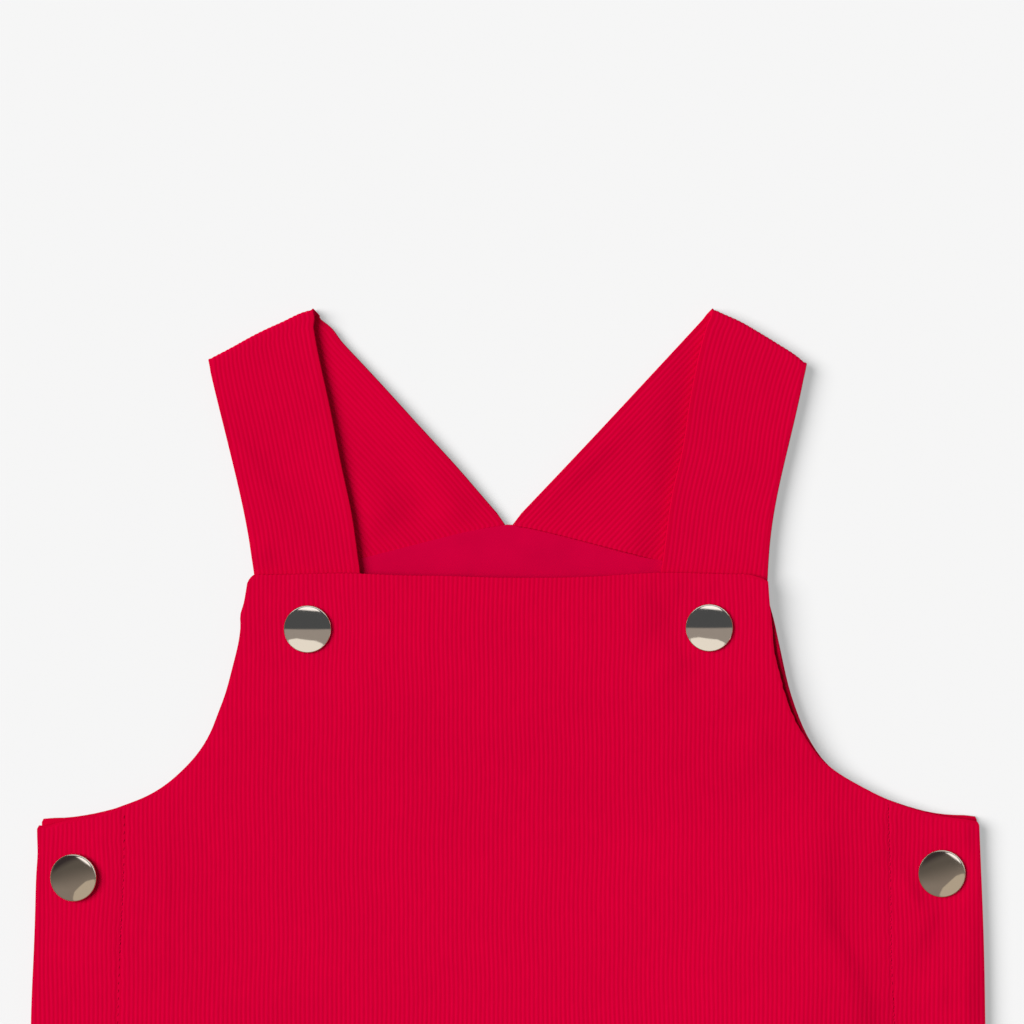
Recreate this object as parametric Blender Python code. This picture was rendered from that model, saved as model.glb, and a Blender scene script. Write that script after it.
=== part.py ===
"""Child's pinafore dress in fine-wale corduroy, laid flat and face up on z = 0.

The named sizes are millimetres and the scene is in metres. +X is the viewer's right, +Y runs from the hem
to the shoulder folds and +Z is up. Each piece that a maker cuts or sews on is one closed solid. Pieces
keep GAP between them at the seams and from layer to layer.
"""
import math
from collections import namedtuple

import bmesh
import bpy
from mathutils import Matrix, Vector

MM = 0.001

# Cloth layers, from the table up.
GAP = 0.3
CORDUROY = 1.3
FACING = 1.0
STRAP = 2.4  # corduroy doubled
BACK_TOP = CORDUROY
FACING_FLOOR = BACK_TOP + GAP
FACING_TOP = FACING_FLOOR + FACING
UNDERLAP_FLOOR = BACK_TOP + GAP
UNDERLAP_TOP = UNDERLAP_FLOOR + CORDUROY
STRAP_FLOOR = FACING_TOP + GAP  # the front half of a strap crosses the back's facing
STRAP_TOP = STRAP_FLOOR + STRAP

# The garment: shoulder fold to hem, and the flare of the skirt.
LENGTH = 500.0
SHOULDER_Y = LENGTH / 2
HEM_Y = -LENGTH / 2
UNDERARM_X = 149.0
UNDERARM_Y = 86.2
STRAIGHT_FLARE = 6.5  # how far each side leans out by the hem
CURVED_FLARE = 32.0  # and how far it also swings out, mostly low down
FLARE_POWER = 2.5
HEM_RISE = 17.0  # the hem is higher at the side seams than at the middle
HEM_X = UNDERARM_X + STRAIGHT_FLARE + CURVED_FLARE

# Bib: its top edge dips a little between the straps.
BIB_MIDDLE_Y = 165.2
BIB_CORNER = {-1: (79.9, 166.1), 1: (75.5, 166.2)}
FRONT_ARMHOLE = {
    -1: ((82.2, 163.9), (89.7, 117.6), (92.3, 94.6), (UNDERARM_X, 85.9)),
    1: ((82.4, 164.2), (86.3, 115.9), (92.8, 97.0), (UNDERARM_X, 86.8)),
}

# Back: its neckline is a shallow peak, and its armholes sit a little to the right of the front's.
NECK_PEAK_Y = 181.4
NECK_SLOPE = 0.262
NECK_ROUND = 6.0
NECK_CORNER = (80.3, 160.8)
BACK_ARMHOLE = {
    -1: (NECK_CORNER, (91.5, 117.2), (89.2, 92.6), (148.8, 88.1)),
    1: (NECK_CORNER, (92.3, 117.4), (88.8, 94.9), (148.3, 88.4)),
}
BACK_SHIFT = 0.8
SHIFT_FADE_Y = (-80.0, 20.0)  # the side seams below the openings leave no shift

# Facing of the back neckline, and the side openings with their underlaps.
FACING_DEPTH = 34.0
FACING_HALF = 62.0
OPENING_FOOT_Y = 0.0
UNDERLAP_WIDTH = 27.0

# Straps: the plan of each one's front half, of its shoulder fold and of its base on the neckline.
Strap = namedtuple("Strap", "fold_inner fold_outer bib_inner bib_outer end_inner end_outer bow base_inner")
STRAPS = {
    -1: Strap(
        fold_inner=(-61.2, SHOULDER_Y), fold_outer=(-94.6, 233.6),
        bib_inner=(-47.0, 166.8), bib_outer=(-80.2, 165.4),
        end_inner=(-47.2, 133.0), end_outer=(-79.8, 133.0), bow=1.05, base_inner=0.6,
    ),
    1: Strap(
        fold_inner=(64.5, SHOULDER_Y), fold_outer=(94.8, 232.9),
        bib_inner=(49.8, 166.8), bib_outer=(82.4, 164.9),
        end_inner=(48.2, 133.0), end_outer=(80.5, 133.0), bow=1.75, base_inner=1.6,
    ),
}
BOW_LOWNESS = 1.6  # the front half's outer edge curves in most at two thirds of the way down
FOLD_CROWN = 1.1  # the shoulder fold bulges by this at its middle
STRAP_BASE_OUTER = 52.0  # where a strap's base on the neckline ends
FOLD_RADIUS = 2.0  # of the strap's middle layer at the shoulder
FOLD_SETTLE = 24.0  # how far from the fold the front half comes down on the back half

# Snap caps: centre, and how far each leans towards -X with the cloth under it.
CAP_RADIUS = 7.5
Snap = namedtuple("Snap", "name x y lean")
SNAPS = (
    Snap("snap_bib_left", -63.1, 149.0, 0.0),
    Snap("snap_bib_right", 63.6, 149.4, 0.0),
    Snap("snap_side_left", -137.1, 70.4, 6.0),
    Snap("snap_side_right", 137.3, 71.6, 0.0),
)
Ring = namedtuple("Ring", "radius height")
CAP_PROFILE = (
    Ring(6.90, 0.00), Ring(7.35, 0.12), Ring(CAP_RADIUS, 0.46), Ring(7.36, 0.86), Ring(6.95, 0.96),
    Ring(6.30, 1.08), Ring(5.30, 1.24), Ring(3.80, 1.42), Ring(1.90, 1.54),
)
CAP_CROWN = 1.58
CAP_SEGMENTS = 56
SNAP_SEAT = 9.0  # radius of the flat bed of cloth under a cap
SNAP_FADE = 28.0

# What the front panel passes over: it is lifted to each top, and comes down softly over the fade.
Pad = namedtuple("Pad", "x_min x_max y_min y_max fade top")
PADS = (
    Pad(-100.0, 100.0, 126.0, 200.0, 60.0, STRAP_TOP + GAP),
    Pad(-200.0, -117.0, -8.0, 110.0, 60.0, UNDERLAP_TOP + GAP),
    Pad(117.0, 200.0, -8.0, 110.0, 60.0, UNDERLAP_TOP + GAP),
)

# Soft ripples of the skirt, highest at the hem.
Ripple = namedtuple("Ripple", "x half_width height top_y")
RIPPLES = (
    Ripple(-128.0, 30.0, 2.6, -30.0),
    Ripple(-58.0, 24.0, 1.7, -110.0),
    Ripple(12.0, 34.0, 2.1, -60.0),
    Ripple(86.0, 26.0, 1.5, -130.0),
    Ripple(140.0, 24.0, 2.4, -20.0),
)

# Mesh fineness.
ARMHOLE_STEPS = 14
SIDE_STEPS = 15
HALF_COLUMNS = 18
ROW_BEND = 2.2  # how sharply a row turns to meet the armhole
ARMHOLE_FOOT_Y = 62.0  # where the underarm's row crosses the middle

Finish = namedtuple("Finish", "colour roughness metallic sheen")
CORDUROY_RED = Finish((0.658, 0.002, 0.034), 0.85, 0.0, 0.35)
FACING_RED = Finish((0.597, 0.002, 0.040), 0.80, 0.0, 0.10)
SNAP_METAL = Finish((0.66, 0.60, 0.47), 0.16, 1.0, 0.0)


def smooth(value):
    """Eases 0 to 1 as value goes from 0 to 1."""
    value = min(max(value, 0.0), 1.0)
    return value * value * (3.0 - 2.0 * value)


def lerp(a, b, t):
    return a + (b - a) * t


def between(a, b, t):
    """The point t of the way from a to b, in plan."""
    return (lerp(a[0], b[0], t), lerp(a[1], b[1], t))


def bezier(points, t):
    """A point of the cubic curve with these four control points."""
    weights = ((1 - t) ** 3, 3 * t * (1 - t) ** 2, 3 * t * t * (1 - t), t ** 3)
    return tuple(sum(w * p[axis] for w, p in zip(weights, points)) for axis in (0, 1))


def side_x(y):
    """Half width of the skirt at y."""
    down = min(max((UNDERARM_Y - y) / (UNDERARM_Y - HEM_Y), 0.0), 1.0)
    return UNDERARM_X + STRAIGHT_FLARE * down + CURVED_FLARE * down ** FLARE_POWER


def hem_y(x):
    return HEM_Y + HEM_RISE * (x / HEM_X) ** 2


def neck_y(x):
    """The back neckline: a rounded peak between two straight slopes."""
    return NECK_PEAK_Y - NECK_SLOPE * (math.hypot(x, NECK_ROUND) - NECK_ROUND)


def front_floor(x, y):
    """Height of the front panel's underside over what lies below it."""
    bottom = BACK_TOP + GAP
    cubes = 0.0  # pads that meet blend softly
    for pad in PADS:
        across = smooth(1.0 + min(x - pad.x_min, pad.x_max - x) / pad.fade)
        along = smooth(1.0 + min(y - pad.y_min, pad.y_max - y) / pad.fade)
        cubes += ((pad.top - bottom) * across * along) ** 3
    level = bottom + cubes ** (1 / 3)
    for ripple in RIPPLES:
        across = smooth(1.0 - abs(x - ripple.x) / ripple.half_width)
        along = smooth((ripple.top_y - y) / (ripple.top_y - HEM_Y))
        level += ripple.height * across * along
    for snap in SNAPS:
        away = math.hypot(x - snap.x, y - snap.y)
        bed = (x - snap.x + SNAP_SEAT) * math.tan(math.radians(snap.lean))
        level += max(bed, 0.0) * smooth(1.0 - (away - SNAP_SEAT) / SNAP_FADE)
    return level


def strap_height(run):
    """Height of the middle of a strap's front half at this distance from its fold."""
    return lerp(STRAP / 2 + 2 * FOLD_RADIUS, STRAP_FLOOR + STRAP / 2, smooth(run / FOLD_SETTLE))


def finish_material(name, finish):
    material = bpy.data.materials.new(name)
    material.use_nodes = True
    shader = material.node_tree.nodes["Principled BSDF"]
    shader.inputs["Base Color"].default_value = (*finish.colour, 1.0)
    shader.inputs["Roughness"].default_value = finish.roughness
    shader.inputs["Metallic"].default_value = finish.metallic
    shader.inputs["Sheen Weight"].default_value = finish.sheen
    material.diffuse_color = (*finish.colour, 1.0)
    return material


def add_piece(name, mesh_data, finish, sharp_degrees):
    """Turns a closed bmesh, in millimetres, into the named object."""
    bmesh.ops.scale(mesh_data, vec=(MM, MM, MM), verts=mesh_data.verts)
    bmesh.ops.recalc_face_normals(mesh_data, faces=mesh_data.faces)
    mesh = bpy.data.meshes.new(name)
    mesh_data.to_mesh(mesh)
    mesh_data.free()
    mesh.shade_smooth()
    mesh.set_sharp_from_angle(angle=math.radians(sharp_degrees))
    piece = bpy.data.objects.new(name, mesh)
    piece.data.materials.append(finish_material(name, finish))
    bpy.context.scene.collection.objects.link(piece)
    return piece


def wall(lower, upper):
    """A closed wall of cloth between two grids of points, which have the same rows and columns."""
    solid = bmesh.new()
    grids = [[[solid.verts.new(p) for p in row] for row in grid] for grid in (lower, upper)]
    rows, columns = len(lower), len(lower[0])
    for grid in grids:
        for r in range(rows - 1):
            for c in range(columns - 1):
                solid.faces.new((grid[r][c], grid[r][c + 1], grid[r + 1][c + 1], grid[r + 1][c]))
    rim = [(0, c) for c in range(columns)]
    rim += [(r, columns - 1) for r in range(1, rows)]
    rim += [(rows - 1, c) for c in range(columns - 2, -1, -1)]
    rim += [(r, 0) for r in range(rows - 2, 0, -1)]
    for (r, c), (s, d) in zip(rim, rim[1:] + rim[:1]):
        solid.faces.new((grids[0][r][c], grids[0][s][d], grids[1][s][d], grids[1][r][c]))
    return solid


def flat_wall(plan, floor, thickness):
    """A wall on a plan of points whose underside is at floor(x, y)."""
    lower = [[(x, y, floor(x, y)) for x, y in row] for row in plan]
    upper = [[(x, y, z + thickness) for x, y, z in row] for row in lower]
    return wall(lower, upper)


def row_between(left, right, middle_y):
    """A row of a panel that crosses the middle at middle_y and turns to meet both edges."""
    row = []
    for step in range(-HALF_COLUMNS, HALF_COLUMNS + 1):
        share = abs(step) / HALF_COLUMNS
        edge = left if step < 0 else right
        row.append((edge[0] * share, lerp(middle_y, edge[1], share ** ROW_BEND)))
    return row


def panel_plan(row_above, armholes, shift):
    """Rows of a panel below row_above: past the armholes, keyed by side, and down the sides to the hem.

    shift(y) moves the panel sideways.
    """
    rows = []
    top_y = row_above[HALF_COLUMNS][1]
    for step in range(1, ARMHOLE_STEPS + 1):
        t = step / ARMHOLE_STEPS
        left, right = (bezier(armholes[side], t) for side in (-1, 1))
        rows.append(row_between((-left[0], left[1]), right, lerp(top_y, ARMHOLE_FOOT_Y, t)))
    foot_y = {side: armholes[side][3][1] for side in (-1, 1)}
    reach = {side: armholes[side][3][0] - side_x(foot_y[side]) for side in (-1, 1)}
    for step in range(1, SIDE_STEPS + 1):
        t = step / SIDE_STEPS
        ends = []
        for side in (-1, 1):
            y = lerp(foot_y[side], hem_y(HEM_X), t)
            ends.append((side * (side_x(y) + reach[side] * (1.0 - t)), y))
        rows.append(row_between(ends[0], ends[1], lerp(ARMHOLE_FOOT_Y, HEM_Y, t)))
    return [[(x + shift(y), y) for x, y in row] for row in rows]


def front_panel():
    corner = row_between((-BIB_CORNER[-1][0], BIB_CORNER[-1][1]), BIB_CORNER[1], BIB_MIDDLE_Y)
    starts = {side: FRONT_ARMHOLE[side][0] for side in (-1, 1)}
    below = row_between((-starts[-1][0], starts[-1][1]), starts[1], BIB_MIDDLE_Y - 3.0)
    plan = [corner, below] + panel_plan(below, FRONT_ARMHOLE, lambda y: 0.0)
    return flat_wall(plan, front_floor, CORDUROY)


def back_shift(y):
    low, high = SHIFT_FADE_Y
    return BACK_SHIFT * smooth((y - low) / (high - low))


def back_panel():
    """The back, flat on the table, from its neckline down."""
    top = []
    for step in range(-HALF_COLUMNS, HALF_COLUMNS + 1):
        x = NECK_CORNER[0] * step / HALF_COLUMNS
        slack = smooth((abs(x) - STRAP_BASE_OUTER) / (NECK_CORNER[0] - STRAP_BASE_OUTER))
        top.append((x, lerp(neck_y(x), NECK_CORNER[1], slack) - GAP / 2))
    plan = [top] + panel_plan(top, BACK_ARMHOLE, back_shift)
    return flat_wall(plan, lambda x, y: 0.0, CORDUROY)


def back_facing():
    """The smooth facing inside the back neckline."""
    columns, depth_steps = 24, 3
    plan = []
    for step in range(depth_steps + 1):
        drop = FACING_DEPTH * step / depth_steps
        xs = [lerp(-FACING_HALF, FACING_HALF, c / columns) for c in range(columns + 1)]
        plan.append([(x, neck_y(x) - GAP / 2 - drop) for x in xs])
    return flat_wall(plan, lambda x, y: FACING_FLOOR, FACING)


def underlap(side):
    """The strip on the back's side edge that lies under the front's snapped edge."""
    rows = 12
    plan = []
    for step in range(rows + 1):
        y = lerp(OPENING_FOOT_Y, UNDERARM_Y - 0.6, step / rows)
        outer = side * (side_x(y) - 0.4)
        inner = outer - side * UNDERLAP_WIDTH
        plan.append([between((inner, y), (outer, y), c / 4) for c in range(5)])
    return flat_wall(plan, lambda x, y: UNDERLAP_FLOOR, CORDUROY)


def strap(side):
    """One strap: its back half on the table, the shoulder fold, and its front half down to its end."""
    plan = STRAPS[side]
    columns, back_rows, fold_rows, front_rows = 6, 12, 8, 20
    along = (Vector(plan.fold_inner) - Vector(plan.fold_outer)).normalized()
    outward = Vector((-along.y, along.x)) * side * -1.0
    base, crest, bulges, back_ways, front_ways = [], [], [], [], []
    for column in range(columns + 1):
        share = column / columns
        x = side * lerp(plan.base_inner, STRAP_BASE_OUTER, share)
        base.append(Vector((x, neck_y(x) + GAP / 2)))
        bib = Vector(between(plan.bib_inner, plan.bib_outer, share))
        bulges.append(outward * FOLD_CROWN * math.sin(math.pi * share))
        crest.append(Vector(between(plan.fold_inner, plan.fold_outer, share)) + bulges[-1])
        for start, ways in ((base[-1], back_ways), (bib, front_ways)):
            way = crest[-1] - start
            ways.append(way / way.dot(outward))  # along the strap, and one millimetre outward

    lower, upper = [], []

    def add_row(points, height, lean, ways):
        """Adds a row of the strap's middle layer, whose face leans outward by this angle."""
        tilt = math.cos(lean) * STRAP / 2
        rise = math.sin(lean) * STRAP / 2
        lower.append([(*(p - w * tilt), height - rise) for p, w in zip(points, ways)])
        upper.append([(*(p + w * tilt), height + rise) for p, w in zip(points, ways)])

    reach = FOLD_RADIUS + STRAP / 2
    for step in range(back_rows):
        row = [b.lerp(c - w * reach, step / back_rows) for b, c, w in zip(base, crest, back_ways)]
        add_row(row, STRAP / 2, -math.pi / 2, back_ways)
    for step in range(fold_rows + 1):
        turn = -math.pi / 2 + math.pi * step / fold_rows
        ways = back_ways if turn < 0.0 else front_ways
        row = [c + w * (FOLD_RADIUS * math.cos(turn) - reach) for c, w in zip(crest, ways)]
        add_row(row, STRAP / 2 + FOLD_RADIUS * (1.0 + math.sin(turn)), turn, ways)
    inner_start = crest[0] - front_ways[0] * reach
    outer_start = crest[-1] - front_ways[-1] * reach
    visible = (Vector(plan.bib_outer) - outer_start).length
    hidden = (Vector(plan.end_outer) - Vector(plan.bib_outer)).length
    for step in range(1, front_rows + 1):
        run = (visible + hidden) * step / front_rows
        down = min(run / visible, 1.0)
        under = max((run - visible) / hidden, 0.0)
        inner = inner_start.lerp(Vector(plan.bib_inner), down).lerp(Vector(plan.end_inner), under)
        outer = outer_start.lerp(Vector(plan.bib_outer), down).lerp(Vector(plan.end_outer), under)
        outer.x -= side * plan.bow * math.sin(math.pi * down ** BOW_LOWNESS)
        crown = 1.0 - smooth(run / FOLD_SETTLE)
        row = [inner.lerp(outer, c / columns) + b * crown for c, b in enumerate(bulges)]
        add_row(row, strap_height(run), math.pi / 2, front_ways)
    return wall(lower, upper)


def snap_cap(snap):
    """A turned metal cap on its bed of cloth."""
    solid = bmesh.new()
    rings = []
    for ring in CAP_PROFILE:
        turns = [2 * math.pi * s / CAP_SEGMENTS for s in range(CAP_SEGMENTS)]
        rings.append([
            solid.verts.new((ring.radius * math.cos(a), ring.radius * math.sin(a), ring.height))
            for a in turns
        ])
    for inner, outer in zip(rings, rings[1:]):
        for s in range(CAP_SEGMENTS):
            n = (s + 1) % CAP_SEGMENTS
            solid.faces.new((inner[s], inner[n], outer[n], outer[s]))
    base = solid.verts.new((0.0, 0.0, CAP_PROFILE[0].height))
    crown = solid.verts.new((0.0, 0.0, CAP_CROWN))
    for s in range(CAP_SEGMENTS):
        n = (s + 1) % CAP_SEGMENTS
        solid.faces.new((base, rings[0][n], rings[0][s]))
        solid.faces.new((crown, rings[-1][s], rings[-1][n]))
    seat = front_floor(snap.x, snap.y) + CORDUROY + GAP
    place = Matrix.Translation((snap.x, snap.y, seat)) @ Matrix.Rotation(-math.radians(snap.lean), 4, "Y")
    bmesh.ops.transform(solid, matrix=place, verts=solid.verts)
    return solid


def build():
    for old in list(bpy.data.objects):
        bpy.data.objects.remove(old, do_unlink=True)
    add_piece("back_panel", back_panel(), CORDUROY_RED, 40)
    add_piece("back_facing", back_facing(), FACING_RED, 40)
    for side, word in ((-1, "left"), (1, "right")):
        add_piece(f"underlap_{word}", underlap(side), CORDUROY_RED, 40)
        add_piece(f"strap_{word}", strap(side), CORDUROY_RED, 50)
    add_piece("front_panel", front_panel(), CORDUROY_RED, 40)
    for snap in SNAPS:
        add_piece(snap.name, snap_cap(snap), SNAP_METAL, 40)


build()
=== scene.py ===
"""Child's corduroy pinafore dress, laid flat: the looks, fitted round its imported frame.

Sizes are millimetres and become metres only where a mesh is made. +X is the viewer's right, +Y runs from
the hem to the shoulder folds and +Z is up. Every cloth piece is a closed shell on the form of its solid,
and its wales are real ridges: four columns of points to a wale.
"""

from __future__ import annotations

import logging
import math
from dataclasses import dataclass, field
from enum import Enum
from functools import cached_property
from typing import Callable, Iterable, Sequence

import bpy
import numpy as np
from mathutils import Matrix, Vector
from mathutils.geometry import delaunay_2d_cdt

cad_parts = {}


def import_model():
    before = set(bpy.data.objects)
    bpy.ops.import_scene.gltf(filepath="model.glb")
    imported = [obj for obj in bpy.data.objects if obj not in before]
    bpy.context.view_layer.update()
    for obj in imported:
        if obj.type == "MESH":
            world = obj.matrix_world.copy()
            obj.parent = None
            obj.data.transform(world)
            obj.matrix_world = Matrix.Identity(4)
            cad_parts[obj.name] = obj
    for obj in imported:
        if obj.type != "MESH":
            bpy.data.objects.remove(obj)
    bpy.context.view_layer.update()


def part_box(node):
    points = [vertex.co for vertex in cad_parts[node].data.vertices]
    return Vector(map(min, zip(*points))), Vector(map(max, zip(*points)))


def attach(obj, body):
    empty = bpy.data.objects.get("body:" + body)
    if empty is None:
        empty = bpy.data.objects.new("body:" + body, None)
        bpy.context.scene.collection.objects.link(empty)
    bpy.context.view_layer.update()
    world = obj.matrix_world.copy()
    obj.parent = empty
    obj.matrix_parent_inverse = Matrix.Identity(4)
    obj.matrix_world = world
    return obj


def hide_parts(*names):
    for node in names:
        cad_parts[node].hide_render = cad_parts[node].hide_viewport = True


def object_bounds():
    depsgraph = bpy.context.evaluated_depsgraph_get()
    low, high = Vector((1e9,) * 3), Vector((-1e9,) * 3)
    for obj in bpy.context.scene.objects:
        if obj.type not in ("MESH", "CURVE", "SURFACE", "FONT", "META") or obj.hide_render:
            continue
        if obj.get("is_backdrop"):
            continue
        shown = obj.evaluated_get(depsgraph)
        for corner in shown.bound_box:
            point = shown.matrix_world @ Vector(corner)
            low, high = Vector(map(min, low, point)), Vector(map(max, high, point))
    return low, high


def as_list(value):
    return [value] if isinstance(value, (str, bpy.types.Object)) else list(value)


LOG = logging.getLogger("pinafore")
MM = 0.001
GAP = 0.3  # between pieces at seams and between layers
RIM_PILE_AND_SHADE = 0.35  # cut edges are pressed, so their pile stands low and the rim sinks a little; the colour follows the pile, so this also paints the rims darker: painted shade that tempers how brightly the key lights the rounded rims
RIM_SQUARENESS = 0.3  # 1 is a round edge, and less is squarer
FOLD_SQUARENESS = 0.35  # the shoulder folds are pressed
END_ROOM = 0.35  # least distance from a row's end to its first column, as a share of the spacing
ROW_BEND = 2.2  # how sharply a panel's rows, and its hem, turn towards the side edges
Array = np.ndarray
Point = tuple[float, float]
Bumps = Sequence[tuple[float, float, float]]
Height = Callable[[Array, Array], Array]
Material = bpy.types.Material
Object = bpy.types.Object
Socket = bpy.types.NodeSocket
Sockets = dict[str | int, object]
Output = str | int | None


class Side(Enum):
    """A side of the dress as it is seen, with the sign of its X."""

    LEFT = -1
    RIGHT = 1

    @property
    def word(self) -> str:
        """The side's name in the nodes' names."""
        return self.name.lower()


class Wales(Enum):
    """Which face of a cloth shell carries the wales, as the sign of its normal."""

    UP = 1
    DOWN = -1


# ---- Small mathematics ----


def smooth(value: Array | float) -> Array:
    """Ease 0 to 1 as value goes from 0 to 1."""
    held = np.clip(value, 0.0, 1.0)
    return held * held * (3.0 - 2.0 * held)


def lerp(a: Array | float, b: Array | float, t: Array | float) -> Array | float:
    """Return what lies t of the way from a to b."""
    return a + (b - a) * t


def bezier(points: Sequence[Point], t: Array) -> Array:
    """Return points of the cubic curve with these four control points, at each t from 0 to 1."""
    weights = np.stack([(1 - t) ** 3, 3 * t * (1 - t) ** 2, 3 * t * t * (1 - t), t**3], axis=-1)
    return weights @ np.asarray(points, dtype=float)


def unit(vectors: Array) -> Array:
    """Return vectors scaled to a length of one."""
    return vectors / np.maximum(np.linalg.norm(vectors, axis=-1, keepdims=True), 1e-9)


def xyz(x: Array | float, y: Array | float, z: Array | float) -> Array:
    """Return rows of x, y and z, each of which may be one number for all rows."""
    return np.stack(np.broadcast_arrays(x, y, z), axis=1).astype(float)


def distance(a: Point | Array, b: Point | Array) -> float:
    """Return how far apart two points are."""
    return float(np.linalg.norm(np.subtract(a, b)))


def run_along(points: Array) -> Array:
    """Return how far along a line each of its points lies."""
    return np.concatenate([[0.0], np.cumsum(np.linalg.norm(np.diff(points, axis=0), axis=1))])


def bumpy(place: Array | float, bumps: Bumps) -> Array | float:
    """Return what soft bumps add up to at a place: each has its middle, its half width and its height."""
    return sum(height * np.exp(-(((place - middle) / half) ** 2)) for middle, half, height in bumps)


def columns_between(low: float, high: float, spacing: float) -> tuple[Array, Array]:
    """Return the numbers of a row's columns, and the places of its two ends and its columns."""
    columns = np.arange(math.ceil(low / spacing + END_ROOM), math.floor(high / spacing - END_ROOM) + 1)
    return columns, np.concatenate([[low], columns * spacing, [high]])


def turns_round(count: int) -> Array:
    """Return evenly spaced angles round a circle."""
    return np.arange(count) * 2 * math.pi / count


def metres(*sizes: float) -> tuple[float, ...]:
    """Turn millimetres into metres."""
    return tuple(size * MM for size in sizes)


def linear(hex_colour: str) -> tuple[float, float, float, float]:
    """Turn an sRGB hex colour into a linear one.

    Args:
        hex_colour: the colour, as #RRGGBB.

    Returns:
        The linear colour of a shader socket.
    """
    parts = [int(hex_colour[i : i + 2], 16) / 255.0 for i in (1, 3, 5)]
    red, green, blue = (p / 12.92 if p <= 0.04045 else ((p + 0.055) / 1.055) ** 2.4 for p in parts)
    return (red, green, blue, 1.0)


# ---- Objects and finishes ----


def add_object(name: str, data: bpy.types.ID) -> Object:
    """Make an object of this data and put it in the scene.

    Args:
        name: its name.
        data: its mesh, light or camera.

    Returns:
        The object.
    """
    made = bpy.data.objects.new(name, data)
    bpy.context.scene.collection.objects.link(made)
    return made


def add_piece(name: str, points: Array, faces: Sequence[tuple[int, ...]], material: Material) -> Object:
    """Make a smooth mesh object from points in millimetres and put it in the scene.

    Args:
        name: its name.
        points: its points, in millimetres.
        faces: for each face, its points' numbers.
        material: its one material.

    Returns:
        The object.
    """
    mesh = bpy.data.meshes.new(name)
    mesh.from_pydata((points * MM).tolist(), [], faces)
    mesh.materials.append(material)
    mesh.shade_smooth()
    return add_object(name, mesh)


class Nodes:
    """Fills the node tree of a material or a world, starting from none."""

    def __init__(self, owner: Material | bpy.types.World) -> None:
        """Empty the owner's tree.

        Args:
            owner: the material or world.
        """
        owner.use_nodes = True
        self.owner = owner
        self.tree = owner.node_tree
        self.tree.nodes.clear()

    def add(self, kind: str, output: Output, sockets: Sockets, **settings: object) -> Socket | None:
        """Add a node.

        Args:
            kind: the node's type name, without the prefix that all share.
            output: which of its outputs is wanted, if any.
            sockets: for each input, a value, or the output that feeds it.
            settings: properties of the node itself.

        Returns:
            The wanted output.
        """
        node = self.tree.nodes.new(f"ShaderNode{kind}")
        for name, value in settings.items():
            setattr(node, name, value)
        for name, value in sockets.items():
            if isinstance(value, Socket):
                self.tree.links.new(value, node.inputs[name])
            else:
                node.inputs[name].default_value = value
        return None if output is None else node.outputs[output]


# Most of a noise lies between these.
NOISE_ENDS: Sockets = {"From Min": 0.3, "From Max": 0.7}


@dataclass(frozen=True)
class CutCorduroy:
    """Cotton corduroy, woven and then cut: matt pile ridges over darker grooves, with a faint bloom."""

    name: str = "cotton_corduroy_red"
    crest: str = "#CC0035"  # the brushed top of each wale catches the light
    groove: str = "#C0002B"  # the ground weave between wales lies in their shade
    roughness: float = 0.93
    sheen: float = 0.04
    sheen_tint: str = "#FF0040"
    tuft_mm: float = 0.9  # clumps of pile along a wale, drawn coarser than real tufts so that they show
    tuft_tones: Point = (0.965, 1.03)
    cloud_mm: float = 26.0  # brushed patches
    cloud_tones: Point = (0.985, 1.015)
    fibre_mm: float = 0.30
    fibre_depth: float = 0.12
    fibre_strength: float = 0.35
    stretch: float = 0.14  # tufts and fibres are drawn out along the wales

    def build(self) -> Material:
        """Make the material: painted light on the crests and painted shade in the grooves from the wale's
        height, tufts, brushed clouds and a fibre bump.

        Returns:
            The material.
        """
        nodes = Nodes(bpy.data.materials.new(self.name))
        wale = nodes.add("Attribute", "Fac", {}, attribute_name="wale")
        cloth = nodes.add("Attribute", "Vector", {}, attribute_name="cloth_mm")
        drawn = nodes.add("Mapping", "Vector", {"Vector": cloth, "Scale": (1.0, self.stretch, 1.0)})
        clumps = ((drawn, self.tuft_mm, 3.0), (cloth, self.cloud_mm, 2.0), (drawn, self.fibre_mm, 2.0))
        tufts, clouds, fibres = (
            nodes.add("TexNoise", "Fac", {"Vector": place, "Scale": 1.0 / size, "Detail": detail})
            for place, size, detail in clumps
        )
        tones = [
            nodes.add("MapRange", "Result", {"Value": noise, **NOISE_ENDS, "To Min": low, "To Max": high})
            for noise, (low, high) in ((tufts, self.tuft_tones), (clouds, self.cloud_tones))
        ]
        tone = nodes.add("Math", "Value", {0: tones[0], 1: tones[1]}, operation="MULTIPLY")
        # painted highlight on the crests and painted shade in the grooves: the colour follows the wale's
        # height
        depths = {0: wale, 6: linear(self.groove), 7: linear(self.crest)}
        colour = nodes.add("Mix", "Result", depths, data_type="RGBA")
        relief = {"Height": fibres, "Strength": self.fibre_strength, "Distance": self.fibre_depth * MM}
        shader = nodes.add("BsdfPrincipled", "BSDF", {
            "Base Color": nodes.add("HueSaturation", "Color", {"Color": colour, "Value": tone}),
            "Normal": nodes.add("Bump", "Normal", relief),
            "Roughness": self.roughness,
            "Specular IOR Level": 0.0,
            "Sheen Weight": self.sheen,
            "Sheen Roughness": 0.5,
            "Sheen Tint": linear(self.sheen_tint),
        })
        nodes.add("OutputMaterial", None, {"Surface": shader})
        return nodes.owner


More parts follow.
